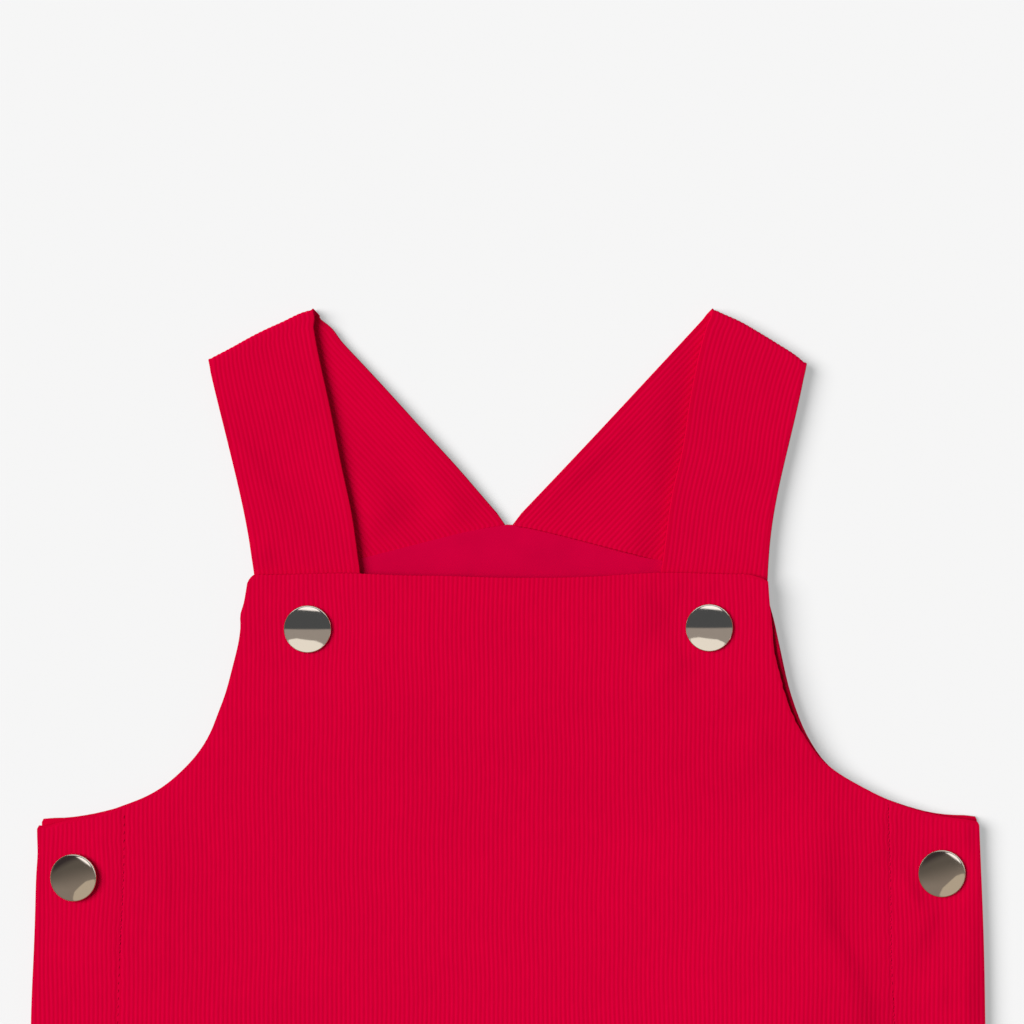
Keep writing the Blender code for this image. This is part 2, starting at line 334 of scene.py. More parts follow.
@dataclass(frozen=True)
class PlainCotton:
    """Plain-weave cotton, piece-dyed: smooth and a little duller than the corduroy, with no ridges."""

    name: str = "plain_cotton_red"
    colour: str = "#C20037"
    roughness: float = 0.85
    specular: float = 0.02  # fibres scatter nearly all of it
    thread_mm: float = 0.5  # drawn at twice the real spacing so that the weave shows
    weave_depth: float = 0.05
    weave_strength: float = 0.25
    cloud_mm: float = 14.0
    cloud_tones: Point = (0.95, 1.04)

    def build(self) -> Material:
        """Make the material: an even dye with soft clouds and a fine over-and-under bump.

        Returns:
            The material.
        """
        nodes = Nodes(bpy.data.materials.new(self.name))
        low, high = self.cloud_tones
        cloth = nodes.add("Attribute", "Vector", {}, attribute_name="cloth_mm")
        patches = {"Vector": cloth, "Scale": 1.0 / self.cloud_mm, "Detail": 3.0}
        clouds = nodes.add("TexNoise", "Fac", patches)
        tones = {"Value": clouds, **NOISE_ENDS, "To Min": low, "To Max": high}
        dye = {"Color": linear(self.colour), "Value": nodes.add("MapRange", "Result", tones)}
        weave = nodes.add("TexChecker", "Fac", {"Vector": cloth, "Scale": 1.0 / self.thread_mm})
        relief = {"Height": weave, "Strength": self.weave_strength, "Distance": self.weave_depth * MM}
        shader = nodes.add("BsdfPrincipled", "BSDF", {
            "Base Color": nodes.add("HueSaturation", "Color", dye),
            "Normal": nodes.add("Bump", "Normal", relief),
            "Roughness": self.roughness,
            "Specular IOR Level": self.specular,
        })
        nodes.add("OutputMaterial", None, {"Surface": shader})
        return nodes.owner


@dataclass(frozen=True)
class SewingThread:
    """Spun polyester thread, dyed to match: a little darker than the pile that it sinks into."""

    name: str = "polyester_thread_red"
    colour: str = "#C00031"
    roughness: float = 0.7
    specular: float = 0.03
    ply_mm: float = 0.35
    ply_tones: Point = (0.85, 1.1)

    def build(self) -> Material:
        """Make the material: a dye that the thread's plies make lighter and darker.

        Returns:
            The material.
        """
        nodes = Nodes(bpy.data.materials.new(self.name))
        low, high = self.ply_tones
        place = nodes.add("TexCoord", "Object", {})
        turns = {"Vector": place, "Scale": 1.0 / (self.ply_mm * MM), "Detail": 1.0}
        plies = nodes.add("TexNoise", "Fac", turns)
        tones = {"Value": plies, **NOISE_ENDS, "To Min": low, "To Max": high}
        dye = {"Color": linear(self.colour), "Value": nodes.add("MapRange", "Result", tones)}
        shader = nodes.add("BsdfPrincipled", "BSDF", {
            "Base Color": nodes.add("HueSaturation", "Color", dye),
            "Roughness": self.roughness,
            "Specular IOR Level": self.specular,
        })
        nodes.add("OutputMaterial", None, {"Surface": shader})
        return nodes.owner


@dataclass(frozen=True)
class PlatedSteel:
    """Stamped steel, plated pale gold and polished: a mirror that faint handling marks soften."""

    name: str = "steel_plated_pale_gold"
    colour: str = "#E9DCC8"
    roughness: float = 0.05
    mark_mm: float = 2.2
    mark_ends: Point = (0.35, 0.7)
    polish: Point = (0.7, 1.5)  # where it is handled least and most, as shares of the roughness

    def build(self) -> Material:
        """Make the material: a metal whose roughness varies a little with handling.

        Returns:
            The material.
        """
        nodes = Nodes(bpy.data.materials.new(self.name))
        start, end = self.mark_ends
        low, high = (self.roughness * share for share in self.polish)
        place = nodes.add("TexCoord", "Object", {})
        handling = {"Vector": place, "Scale": 1.0 / (self.mark_mm * MM), "Detail": 4.0}
        marks = nodes.add("TexNoise", "Fac", handling)
        shader = nodes.add("BsdfPrincipled", "BSDF", {
            "Base Color": linear(self.colour),
            "Metallic": 1.0,
            "Roughness": nodes.add("MapRange", "Result", {
                "Value": marks, "From Min": start, "From Max": end, "To Min": low, "To Max": high,
            }),
        })
        nodes.add("OutputMaterial", None, {"Surface": shader})
        return nodes.owner


@dataclass(frozen=True)
class PaintedBoard:
    """Matt painted board under the dress: the pale floor of a small studio, and plain on purpose."""

    name: str = "matt_painted_board"
    # a little warm against its cool glow, so that the red which the cloth throws into the board's shadows
    # is cancelled
    colour: str = "#5F5E5E"
    glow: str = "#AAACAC"  # painted light from below: the board glows though it is no lamp, which thins the shadows on it; its cool tint keeps them neutral beside red cloth

    def build(self) -> Material:
        """Make the material: flat paint that glows a little.

        Returns:
            The material.
        """
        nodes = Nodes(bpy.data.materials.new(self.name))
        shader = nodes.add("BsdfPrincipled", "BSDF", {
            "Base Color": linear(self.colour),
            "Roughness": 1.0,
            "Specular IOR Level": 0.0,
            "Emission Color": linear(self.glow),
            "Emission Strength": 1.0,
        })
        nodes.add("OutputMaterial", None, {"Surface": shader})
        return nodes.owner


# ---- Cloth shells ----


@dataclass(frozen=True)
class WaleCut:
    """The ridges of the corduroy. Each wale has four columns of points: groove, flank, crest, flank."""

    pitch: float = 1.42
    depth: float = 0.115
    flank: float = 0.74  # height of a flank's point, as a share of the crest's

    @property
    def spacing(self) -> float:
        """Distance from one column of points to the next."""
        return self.pitch / 4

    def share(self, column: Array) -> Array:
        """Return the pile's height at each column, from 0 in a groove to 1 on a crest."""
        return np.array([0.0, self.flank, 1.0, self.flank])[np.mod(column, 4)]


CUT = WaleCut()


@dataclass
class Row:
    """One row of points of a cloth shell: its left end, its columns, and its right end.

    Attributes:
        middle: points of the cloth's middle layer.
        normal: normals of the face that is up, or outside.
        columns: numbers of the columns between the ends.
        across: places across the flat cloth.
        along: places along it.
        cut: the wales, or None on plain cloth.
    """

    middle: Array
    normal: Array
    columns: Array
    across: Array
    along: Array
    cut: WaleCut | None = CUT

    @cached_property
    def pile(self) -> Array:
        """Find the height of the pile.

        Returns:
            For each point, from 0 in a groove to 1 on a crest.
        """
        if self.cut is None:
            return np.full(len(self.across), 0.5)
        # the rims' low pile share sinks them a little and paints them darker, as painted shade
        return np.concatenate([[RIM_PILE_AND_SHADE], self.cut.share(self.columns), [RIM_PILE_AND_SHADE]])


@dataclass
class ClothShell:
    """Builds a closed shell of cloth from rows of points.

    Attributes:
        rows: from the top of the piece to its foot.
        thick: thickness of the cloth, crest to inner face.
        face: the side that carries the wales.
        both: whether the other side carries them too, as on a doubled strap.
        edge_steps: how many strips round off the edge.
        grid: spacing of the points inside a flat panel's face without wales.
        mitre: least cosine that a corner's edge is lengthened by.
        plain_map: size of the face without wales on the map, as a share of the other face's.
        map_gap: between the two faces on the map.
        map_rim: free rim of the map, as a share of it.
    """

    rows: list[Row]
    thick: float
    face: Wales = Wales.UP
    both: bool = False
    edge_steps: int = 4
    grid: float = 9.0
    mitre: float = 0.8
    plain_map: float = 0.13
    map_gap: float = 2.0
    map_rim: float = 0.005
    points: list[Array] = field(default_factory=list)
    shares: list[Array] = field(default_factory=list)
    places: list[Array] = field(default_factory=list)
    faces: list[tuple[int, ...]] = field(default_factory=list)
    islands: list[int] = field(default_factory=list)
    island: int = 0
    count: int = 0

    def add_points(self, points: Array, share: Array, place: Array) -> Array:
        """Store points with their pile height and their place in the flat cloth, and number them.

        Args:
            points: the points.
            share: their pile's height.
            place: their places in the flat cloth.

        Returns:
            Their numbers.
        """
        self.points.append(points)
        self.shares.append(share)
        self.places.append(place)
        self.count += len(points)
        return np.arange(self.count - len(points), self.count)

    def add_face(self, corners: Iterable[int], flip: bool) -> None:
        """Store a face.

        Args:
            corners: its points' numbers.
            flip: whether it is turned over.
        """
        ring = tuple(int(c) for c in corners)
        self.faces.append(ring[::-1] if flip else ring)
        self.islands.append(self.island)

    def ladder(self, numbers: list[Array], flip: bool) -> None:
        """Fill the cloth between rows of numbered points, which may start and end at different columns.

        Args:
            numbers: the points' numbers, row by row.
            flip: whether the faces are turned over.
        """
        for above, below, up, low in zip(self.rows, self.rows[1:], numbers, numbers[1:]):
            start = max(above.columns[0], below.columns[0])
            span = min(above.columns[-1], below.columns[-1]) - start
            a, b = start - above.columns[0] + 1, start - below.columns[0] + 1
            for i in range(span):
                self.add_face((up[a + i], low[b + i], low[b + i + 1], up[a + i + 1]), flip)
            self.end_faces(up[: a + 1], low[: b + 1], flip)
            self.end_faces(up[a + span :][::-1], low[b + span :][::-1], not flip)

    def end_faces(self, up: Array, low: Array, flip: bool) -> None:
        """Fill the end of a strip, from the edge's two points to the column that both rows have.

        Args:
            up: numbers of the upper row's points, from its end.
            low: numbers of the lower row's.
            flip: whether the faces are turned over.
        """
        if len(up) == len(low) == 2:
            self.add_face((up[0], low[0], low[1], up[1]), flip)
        elif len(up) == 2:
            for i in range(len(low) - 1):
                self.add_face((up[0], low[i], low[i + 1]), flip)
            self.add_face((up[0], low[-1], up[1]), flip)
        else:
            for i in range(len(up) - 1):
                self.add_face((low[0], up[i + 1], up[i]), flip)
            self.add_face((low[0], low[-1], up[-1]), flip)

    @cached_property
    def rim(self) -> list[tuple[int, int]]:
        """List the points round the edge, anticlockwise from the top left.

        Returns:
            The row and the position of each.
        """
        last = len(self.rows) - 1
        left = [(r, 0) for r in range(1, last)]
        foot = [(last, c) for c in range(len(self.rows[last].middle))]
        right = [(r, len(self.rows[r].middle) - 1) for r in range(last - 1, 0, -1)]
        top = [(0, c) for c in range(len(self.rows[0].middle) - 1, -1, -1)]
        return left + foot + right + top

    def side_points(self, sign: int) -> list[Array]:
        """Store one face's points, with its pile.

        Args:
            sign: 1 for the upper or outer face, and -1 for the other.

        Returns:
            The points' numbers, row by row.
        """
        numbers = []
        for row in self.rows:
            piled = row.cut is not None and (self.both or sign == self.face.value)
            share = row.pile if piled else np.full(len(row.middle), 0.5)
            sunk = row.cut.depth * (1.0 - share) if piled else np.zeros(len(row.middle))
            points = row.middle + row.normal * (sign * (self.thick / 2 - sunk)).reshape(-1, 1)
            numbers.append(self.add_points(points, share, xyz(row.across, row.along, sign)))
        return numbers

    def round_edge(self, near: list[Array], far: list[Array] | None) -> tuple[list[Array], Array]:
        """Roll the edge over from the face that is made already to the other one.

        Args:
            near: numbers of the first face's points, row by row.
            far: numbers of the other face's points, or None where it has no rows.

        Returns:
            Numbers of the points round the edge, ring by ring, and the last ring's places as it unrolls.
        """
        sign, rim = self.face.value, self.rim
        middle = np.array([self.rows[r].middle[c] for r, c in rim])
        normal = np.array([self.rows[r].normal[c] for r, c in rim])
        share = np.array([self.rows[r].pile[c] for r, c in rim])
        place = np.array([(self.rows[r].across[c], self.rows[r].along[c], 0.0) for r, c in rim])
        last = len(self.rows) - 1
        ends = [len(self.rows[r].middle) - 1 for r, _ in rim]
        away = [((c == end) - (c == 0), (r == 0) - (r == last), 0.0) for (r, c), end in zip(rim, ends)]
        before = unit(middle - np.roll(middle, 1, axis=0))
        after = unit(np.roll(middle, -1, axis=0) - middle)
        bisector = unit(np.cross(before + after, normal))
        turn = np.sum(bisector * unit(np.cross(after, normal)), axis=1, keepdims=True)
        outward = bisector / np.maximum(turn, self.mitre)
        depth = self.rows[0].cut.depth if self.rows[0].cut else 0.0
        radius = (self.thick / 2 - depth * (1.0 - share)).reshape(-1, 1)
        rings = [np.array([near[r][c] for r, c in rim])]
        for step in range(1, self.edge_steps + 1):
            angle = math.pi / 2 - math.pi * step / self.edge_steps
            out = abs(math.cos(angle)) ** RIM_SQUARENESS
            up = math.copysign(abs(math.sin(angle)) ** RIM_SQUARENESS, angle)
            unrolled = place + np.array(away) * (math.pi / 2 - angle) * self.thick / 2
            if step < self.edge_steps or far is None:
                reach = radius if step < self.edge_steps else self.thick / 2
                points = middle + outward * reach * out + normal * sign * reach * up
                rings.append(self.add_points(points, share, unrolled))
            else:
                rings.append(np.array([far[r][c] for r, c in rim]))
        for inner, outer in zip(rings, rings[1:]):
            for i in range(len(rim)):
                n = (i + 1) % len(rim)
                self.add_face((inner[i], outer[i], outer[n], inner[n]), sign < 0)
        return rings, unrolled

    def plain_side(self, rim_numbers: Array, level: Height) -> None:
        """Fill the face without wales inside its rim, with few points.

        Args:
            rim_numbers: numbers of the rim's points, in order.
            level: height of the face at x and y.
        """
        grid = self.grid
        rim = np.concatenate(self.points)[rim_numbers][:, :2]
        ahead = np.roll(rim, -1, axis=0)
        inside: list[Point] = []
        for y in np.arange(rim[:, 1].min() + grid / 2, rim[:, 1].max(), grid):
            crosses = (rim[:, 1] > y) != (ahead[:, 1] > y)
            start, end = rim[crosses], ahead[crosses]
            places = start[:, 0] + (y - start[:, 1]) * (end[:, 0] - start[:, 0]) / (end[:, 1] - start[:, 1])
            crossings = np.sort(places)
            for left, right in zip(crossings[::2], crossings[1::2]):
                room = right - left - grid
                if room > 0:
                    xs = np.linspace(left + grid / 2, right - grid / 2, int(room / grid) + 2)
                    inside += [(x, y) for x in xs]
        edges = [(i, (i + 1) % len(rim)) for i in range(len(rim))]
        plan = [Vector(p) for p in rim] + [Vector(p) for p in inside]
        _, _, triangles, origin, _, _ = delaunay_2d_cdt(plan, edges, [], 1, 1e-6)
        xs, ys = np.array(inside).T
        place = xyz(xs, ys, -self.face.value)
        added = self.add_points(xyz(xs, ys, level(xs, ys)), np.full(len(xs), 0.5), place)
        numbers = np.concatenate([rim_numbers, added])
        self.island = 1
        for triangle in triangles:
            self.add_face((numbers[origin[v][0]] for v in triangle), self.face is Wales.UP)

    def press(self, mesh: bpy.types.Mesh, corners: Iterable[Array]) -> None:
        """Mark the two corners of the edge as sharp, since seams and cut edges are pressed.

        Args:
            mesh: the mesh.
            corners: for each corner of the edge, its points' numbers.
        """
        ends = np.empty(2 * len(mesh.edges), dtype=np.int32)
        mesh.edges.foreach_get("vertices", ends)
        sharp = sum(np.isin(ends.reshape(-1, 2), corner).all(axis=1) for corner in corners) > 0
        mesh.attributes.new("sharp_edge", "BOOLEAN", "EDGE").data.foreach_set("value", sharp)

    def lay_out(self, mesh: bpy.types.Mesh, last_ring: Array, unrolled: Array, small: float) -> None:
        """Give the mesh a map of its two faces side by side, with the edge unrolled on the first.

        Args:
            mesh: the mesh.
            last_ring: numbers of the second face's points round the edge.
            unrolled: their places on the first face's map.
            small: size of the second face's map, as a share of the first's.
        """
        own = np.concatenate(self.places)[:, :2]
        first = own.copy()
        first[last_ring] = unrolled[:, :2]
        corners = np.array([c for face in self.faces for c in face])
        island = np.repeat(self.islands, [len(face) for face in self.faces]).reshape(-1, 1)
        laid = first[corners[island[:, 0] == 0]]
        low = laid.min(axis=0)
        width, length = laid.max(axis=0) - low
        scale = (1.0 - 2 * self.map_rim) / max(width * (1.0 + small) + self.map_gap, length)
        second = (own - low) * small + np.array([width + self.map_gap, 0.0])
        places = np.where(island == 0, first[corners] - low, second[corners]) * scale + self.map_rim
        layer = mesh.uv_layers.new(name="OFBake")
        layer.data.foreach_set("uv", places.astype(np.float32).ravel())

    def build(self, name: str, material: Material, level: Height | None = None) -> Object:
        """Make the mesh object, with the attributes that its material reads.

        Args:
            name: the piece's name.
            material: its cloth.
            level: height of the face without wales, on a flat panel; None gives both faces full rows.

        Returns:
            The object.
        """
        sign = self.face.value
        near = self.side_points(sign)
        self.ladder(near, sign < 0)
        far = self.side_points(-sign) if level is None else None
        rings, unrolled = self.round_edge(near, far)
        if far is None:
            self.plain_side(rings[-1], level)
        else:
            self.island = 1
            self.ladder(far, sign > 0)
        piece = add_piece(name, np.concatenate(self.points), self.faces, material)
        mesh = piece.data
        self.lay_out(mesh, rings[-1], unrolled, self.plain_map if far is None else 1.0)
        mesh.attributes.new("wale", "FLOAT", "POINT").data.foreach_set("value", np.concatenate(self.shares))
        place = np.concatenate(self.places).astype(np.float32)
        mesh.attributes.new("cloth_mm", "FLOAT_VECTOR", "POINT").data.foreach_set("vector", place.ravel())
        self.press(mesh, (rings[1], rings[-2]))
        return piece


# ---- Forms of the dress ----


@dataclass(frozen=True)
class Layers:
    """Heights of the cloth layers above the table."""

    corduroy: float = 1.3
    facing: float = 1.0
    strap: float = 2.4  # corduroy doubled

    @property
    def lining_floor(self) -> float:
        """Underside of what lies right on the back panel: its facing and its underlaps."""
        return self.corduroy + GAP

    @property
    def facing_top(self) -> float:
        """Top of the back's facing."""
        return self.lining_floor + self.facing

    @property
    def underlap_top(self) -> float:
        """Top of the underlaps."""
        return self.lining_floor + self.corduroy

    @property
    def strap_floor(self) -> float:
        """Underside of a strap's front half, which crosses the facing."""
        return self.facing_top + GAP

    @property
    def strap_top(self) -> float:
        """Top of a strap's front half."""
        return self.strap_floor + self.strap


LAYERS = Layers()


@dataclass(frozen=True)
class SkirtOutline:
    """The flare of the skirt and the curve of its hem."""

    underarm: Point = (149.0, 86.2)
    foot: float = -250.0
    straight_flare: float = 6.5
    curved_flare: float = 32.0
    flare_power: float = 2.5
    hem_rise: float = 17.0  # the hem is higher at the side seams than at the middle

    def half_width(self, y: Array | float) -> Array | float:
        """Return half the skirt's width at y."""
        down = np.clip((self.underarm[1] - y) / (self.underarm[1] - self.foot), 0.0, 1.0)
        return self.underarm[0] + self.straight_flare * down + self.curved_flare * down**self.flare_power

    @property
    def corner_y(self) -> float:
        """Height of the hem's corners at the side seams."""
        return self.foot + self.hem_rise


SKIRT = SkirtOutline()


@dataclass(frozen=True)
class Pad:
    """Something that the front panel passes over, and how softly it comes down beside it."""

    x_min: float
    x_max: float
    y_min: float
    y_max: float
    fade: float
    top: float


@dataclass(frozen=True)
class Ripple:
    """A soft fold of the skirt, highest at the hem."""

    x: float
    half_width: float
    height: float
    top_y: float


@dataclass(frozen=True)
class Crease:
    """A soft step in the cloth: it stands higher to the left of a line than to the right of it.

    Attributes:
        x: the line's middle.
        y: the line's middle.
        turn: direction of the line, in degrees from +X, anticlockwise.
        length: how far the step runs each way before it fades.
        width: half the width of the slope.
        drop: half the height of the step.
        tail: how far the step's flat side runs before it fades, in widths.
    """

    x: float
    y: float
    turn: float
    length: float
    width: float
    drop: float
    tail: float = 6.5

    def height(self, x: Array, y: Array) -> Array:
        """Work out what the crease adds to the cloth's height.

        Args:
            x: places across.
            y: places along.

        Returns:
            The heights.
        """
        ahead = math.cos(math.radians(self.turn)), math.sin(math.radians(self.turn))
        along = ((x - self.x) * ahead[0] + (y - self.y) * ahead[1]) / self.length
        across = ((y - self.y) * ahead[0] - (x - self.x) * ahead[1]) / self.width
        fade = np.exp(-along * along - (across / self.tail) ** 2)
        return self.drop * (1.0 + np.tanh(across)) * fade


def creased(creases: Iterable[Crease], x: Array, y: Array) -> Array:
    """Return what all creases add to the cloth's height."""
    return sum((crease.height(x, y) for crease in creases), np.zeros(np.shape(x)))


@dataclass(frozen=True)
class SnapBed:
    """Where a snap cap sits, and how far the cloth under it leans towards -X, in degrees."""

    x: float
    y: float
    lean: float = 0.0


@dataclass
class FrontForm:
    """The form of the front panel over everything that it covers."""

    beds: Sequence[SnapBed]
    seat: float = 9.0  # radius of the flat bed under a cap
    seat_fade: float = 36.0
    pads: Sequence[Pad] = (
        Pad(-84.0, 84.0, 133.0, 200.0, 60.0, LAYERS.strap_top + GAP),
        Pad(-200.0, -117.0, -8.0, 110.0, 110.0, LAYERS.underlap_top + GAP),
        Pad(117.0, 200.0, -8.0, 110.0, 110.0, LAYERS.underlap_top + GAP),
    )
    ripples: Sequence[Ripple] = (
        Ripple(-128.0, 30.0, 2.6, -30.0),
        Ripple(-58.0, 24.0, 1.7, -110.0),
        Ripple(12.0, 34.0, 2.1, -60.0),
        Ripple(86.0, 26.0, 1.5, -130.0),
        Ripple(140.0, 24.0, 2.4, -20.0),
    )

    def floor(self, x: Array, y: Array) -> Array:
        """Return the height of the front's underside over all that it covers.

        Args:
            x: places across.
            y: places along.

        Returns:
            The heights above the table.
        """
        bottom = LAYERS.lining_floor
        cubes = np.zeros(np.shape(x))
        for pad in self.pads:
            across = smooth(1.0 + np.minimum(x - pad.x_min, pad.x_max - x) / pad.fade)
            along = smooth(1.0 + np.minimum(y - pad.y_min, pad.y_max - y) / pad.fade)
            cubes = cubes + ((pad.top - bottom) * across * along) ** 3
        level = bottom + np.cbrt(cubes)
        for ripple in self.ripples:
            across = smooth(1.0 - np.abs(x - ripple.x) / ripple.half_width)
            along = smooth((ripple.top_y - y) / (ripple.top_y - SKIRT.foot))
            level = level + ripple.height * across * along
        for bed in self.beds:
            away = np.hypot(x - bed.x, y - bed.y)
            lift = np.clip(x - bed.x + self.seat, 0.0, 2 * self.seat) * math.tan(math.radians(bed.lean))
            level = level + lift * smooth(1.0 - (away - self.seat) / self.seat_fade)
        return level


@dataclass(frozen=True)
class StitchLine:
    """A line of stitches through the front panel, beside a side opening."""

    side: Side
    top_inset: float  # distance from the side edge at the armhole
    foot_inset: float  # and at the line's foot
    top_y: float
    foot_y: float = 2.0
    sway: float = 0.2  # a hand-guided seam isn't quite straight
    sway_length: float = 9.0

    def x_at(self, y: Array | float) -> Array | float:
        """Find where the line crosses y.

        Args:
            y: places along.

        Returns:
            The line's X there.
        """
        share = np.clip((self.top_y - y) / (self.top_y - self.foot_y), 0.0, 1.0)
        sway = self.sway * np.sin(np.asarray(y) / self.sway_length)
        inset = lerp(self.top_inset, self.foot_inset, share)
        return self.side.value * (SKIRT.half_width(y) - inset) + sway


STITCH_LINES = (
    StitchLine(Side.LEFT, 27.8, 27.0, top_y=92.6),
    StitchLine(Side.RIGHT, 28.6, 28.6, top_y=94.6),
)

INSET = LAYERS.corduroy / 2  # from a panel's outline to the middle of its rolled rim


@dataclass
class Panel:
    """A large panel of the dress: rows of points from its top edge to its hem.

    Attributes:
        armholes: control points of each armhole, with X counted outward.
        lifts: what raises each side edge, by its distance from the middle.
        strays: what moves each side edge outward, by its height.
        top_y: where the top edge crosses the middle.
        corner_rows: how many rows end on the top corner.
        armhole_rows: how many rows end on the armhole.
        bulge_rows: over how many rows the top edge's own shape fades.
        underarm_middle_y: where the row of the underarm crosses the middle.
        end_fade: over what distance from a row's end the wales' wander fades.
        slope_step: reach over which the surface's slope is measured.
        ends: room that an armhole's points leave at its top and at its foot.
        side_gap: between an armhole's foot and the first row below it.
    """

    armholes: dict[Side, Sequence[Point]]
    lifts: dict[Side, Bumps]
    strays: dict[Side, Bumps]
    top_y: float
    corner_rows: int
    armhole_rows: int
    bulge_rows: int
    underarm_middle_y: float = 62.0
    end_fade: float = 5.0
    slope_step: float = 0.4
    ends: Point = (0.6, 0.9)
    side_gap: float = 0.5

    def floor(self, x: Array, y: Array) -> Array:
        """Return the height of the panel's underside."""
        raise NotImplementedError

    def relief(self, x: Array, y: Array) -> Array:
        """Return what is pressed into the panel."""
        return np.zeros(np.shape(x))

    def wander(self, x: Array, y: Array) -> Array:
        """Return how far the wales stray sideways."""
        return np.zeros(np.shape(x))

    def shift(self, y: Array) -> Array:
        """Return how far the panel lies to +X at y."""
        return np.zeros(np.shape(y))

    def bulge(self, x: Array) -> Array:
        """Return what the top edge adds to the first row's own bend."""
        raise NotImplementedError

    def edge(self, side: Side) -> Array:
        """Return the points of one side edge, from its top corner to the hem, with X counted outward."""
        raise NotImplementedError

    def cut_edge(self, side: Side, corner: Sequence[Point], side_ys: Array) -> tuple[Array, Array]:
        """Lay points along an edge, inside it by the radius of its rolled rim.

        Args:
            side: the edge's side.
            corner: points that round off the top corner.
            side_ys: heights of the points below the underarm.

        Returns:
            The points' X, counted outward, and their Y.
        """
        armhole = self.armholes[side]
        fine = np.linspace(0.0, 1.0, 400)
        near = 0.001
        run = run_along(bezier(armhole, fine))
        t = np.interp(np.linspace(self.ends[0], run[-1] - self.ends[1], self.armhole_rows), run, fine)
        ahead = bezier(armhole, np.minimum(t + near, 1.0))
        tangent = unit(ahead - bezier(armhole, np.maximum(t - near, 0.0)))
        inner = bezier(armhole, t) + INSET * np.stack([tangent[:, 1], -tangent[:, 0]], axis=1)
        foot_x, foot_y = armhole[3]
        slack = foot_x - SKIRT.half_width(foot_y)
        down = np.maximum((side_ys - SKIRT.corner_y) / (foot_y - SKIRT.corner_y), 0.0)
        sides = np.stack([SKIRT.half_width(side_ys) - INSET + slack * down, side_ys], axis=1)
        return tuple(np.concatenate([np.array(corner), inner, sides]).T)

    @cached_property
    def edges(self) -> dict[Side, Array]:
        """Return the points of both side edges, as many for each."""
        return {side: self.edge(side) for side in Side}

    @cached_property
    def middle_ys(self) -> Array:
        """Space the rows down the middle as their left ends are spaced.

        Returns:
            Where each row crosses the middle.
        """
        run = run_along(self.edges[Side.LEFT])
        underarm = self.corner_rows + self.armhole_rows - 1
        upper = lerp(self.top_y - INSET, self.underarm_middle_y, run[: underarm + 1] / run[underarm])
        below = (run[underarm + 1 :] - run[underarm]) / (run[-1] - run[underarm])
        return np.concatenate([upper, lerp(self.underarm_middle_y, SKIRT.foot + INSET, below)])

    def surface(self, x: Array, y: Array) -> Array:
        """Return the height of the panel's middle layer."""
        return self.floor(x, y) + INSET + self.relief(x, y)

    def row(self, number: int) -> Row:
        """Make one row of points.

        Args:
            number: the row's number, from the top.

        Returns:
            The row.
        """
        left, right = (self.edges[side][number] for side in Side)
        columns, across = columns_between(-left[0], right[0], CUT.spacing)
        end_x, end_y = (np.where(across < 0.0, a, b) for a, b in zip(left, right))
        y = lerp(self.middle_ys[number], end_y, (np.abs(across) / end_x) ** ROW_BEND)
        y = y + self.bulge(across) * smooth(1.0 - number / self.bulge_rows)
        inside = smooth((end_x - np.abs(across)) / self.end_fade)
        x = across + self.shift(y) + self.wander(across, y) * inside
        step = self.slope_step
        slope_x = (self.surface(x + step, y) - self.surface(x - step, y)) / (2 * step)
        slope_y = (self.surface(x, y + step) - self.surface(x, y - step)) / (2 * step)
        return Row(xyz(x, y, self.surface(x, y)), unit(xyz(-slope_x, -slope_y, 1.0)), columns, across, y)

    def shell(self, face: Wales) -> ClothShell:
        """Make the panel's shell from all its rows."""
        rows = [self.row(number) for number in range(len(self.middle_ys))]
        return ClothShell(rows, LAYERS.corduroy, face)


# The front's creases: places where the real cloth is pulled, bent or pressed.
FRONT_CREASES = (
    # the long fold that runs down from the right armhole
    Crease(102.7, 77.0, 89.0, 15.0, 4.6, 0.46),
    Crease(102.8, 57.0, 97.0, 9.0, 3.6, 0.50),
    Crease(107.4, 46.0, 114.0, 8.5, 2.0, 0.36),
    Crease(114.0, 27.0, 103.0, 16.0, 3.6, 0.64),
    # what the right side snap pulls
    Crease(130.4, 64.3, 55.0, 3.2, 2.0, 0.30),
    Crease(133.5, 54.4, 66.0, 8.5, 2.1, 0.36),
    Crease(146.4, 83.5, 90.0, 6.0, 2.0, 0.26),
    Crease(138.5, 34.5, 90.0, 5.0, 2.0, 0.26),
    Crease(146.2, 31.0, 92.0, 11.0, 1.5, 0.16),
    Crease(148.9, 38.0, 91.0, 28.0, 2.4, 0.46),
    # beside the bib's right snap, and beside the right armhole
    Crease(53.0, 141.4, 145.0, 6.0, 2.0, 0.28),
    Crease(45.0, 157.6, 150.0, 6.0, 1.8, 0.20),
    Crease(46.0, 162.4, 90.0, 2.6, 1.0, 0.08),
    Crease(54.0, 162.0, 90.0, 2.6, 1.0, 0.10),
    Crease(64.5, 162.2, 84.0, 2.6, 1.2, 0.12),
    Crease(81.5, 114.6, 126.0, 7.0, 2.5, 0.22),
    # press lines
    Crease(-106.8, 62.0, 90.0, 36.0, 0.8, 0.055),
    Crease(-24.5, 144.0, 90.0, 12.0, 0.8, 0.035),
)
# Wide slopes: beside the long fold, and the skirt stands a little higher in the middle.
FRONT_SLOPES = (
    Crease(98.0, 20.0, 106.0, 24.0, 10.0, 0.85),
    Crease(100.0, 25.0, 95.0, 75.0, 28.0, 0.80),
    Crease(134.0, 50.0, 90.0, 60.0, 12.0, 0.40),
    Crease(-60.0, 10.0, -90.0, 150.0, 60.0, 0.90),
    Crease(85.0, 10.0, -90.0, 150.0, 40.0, -0.80),
)


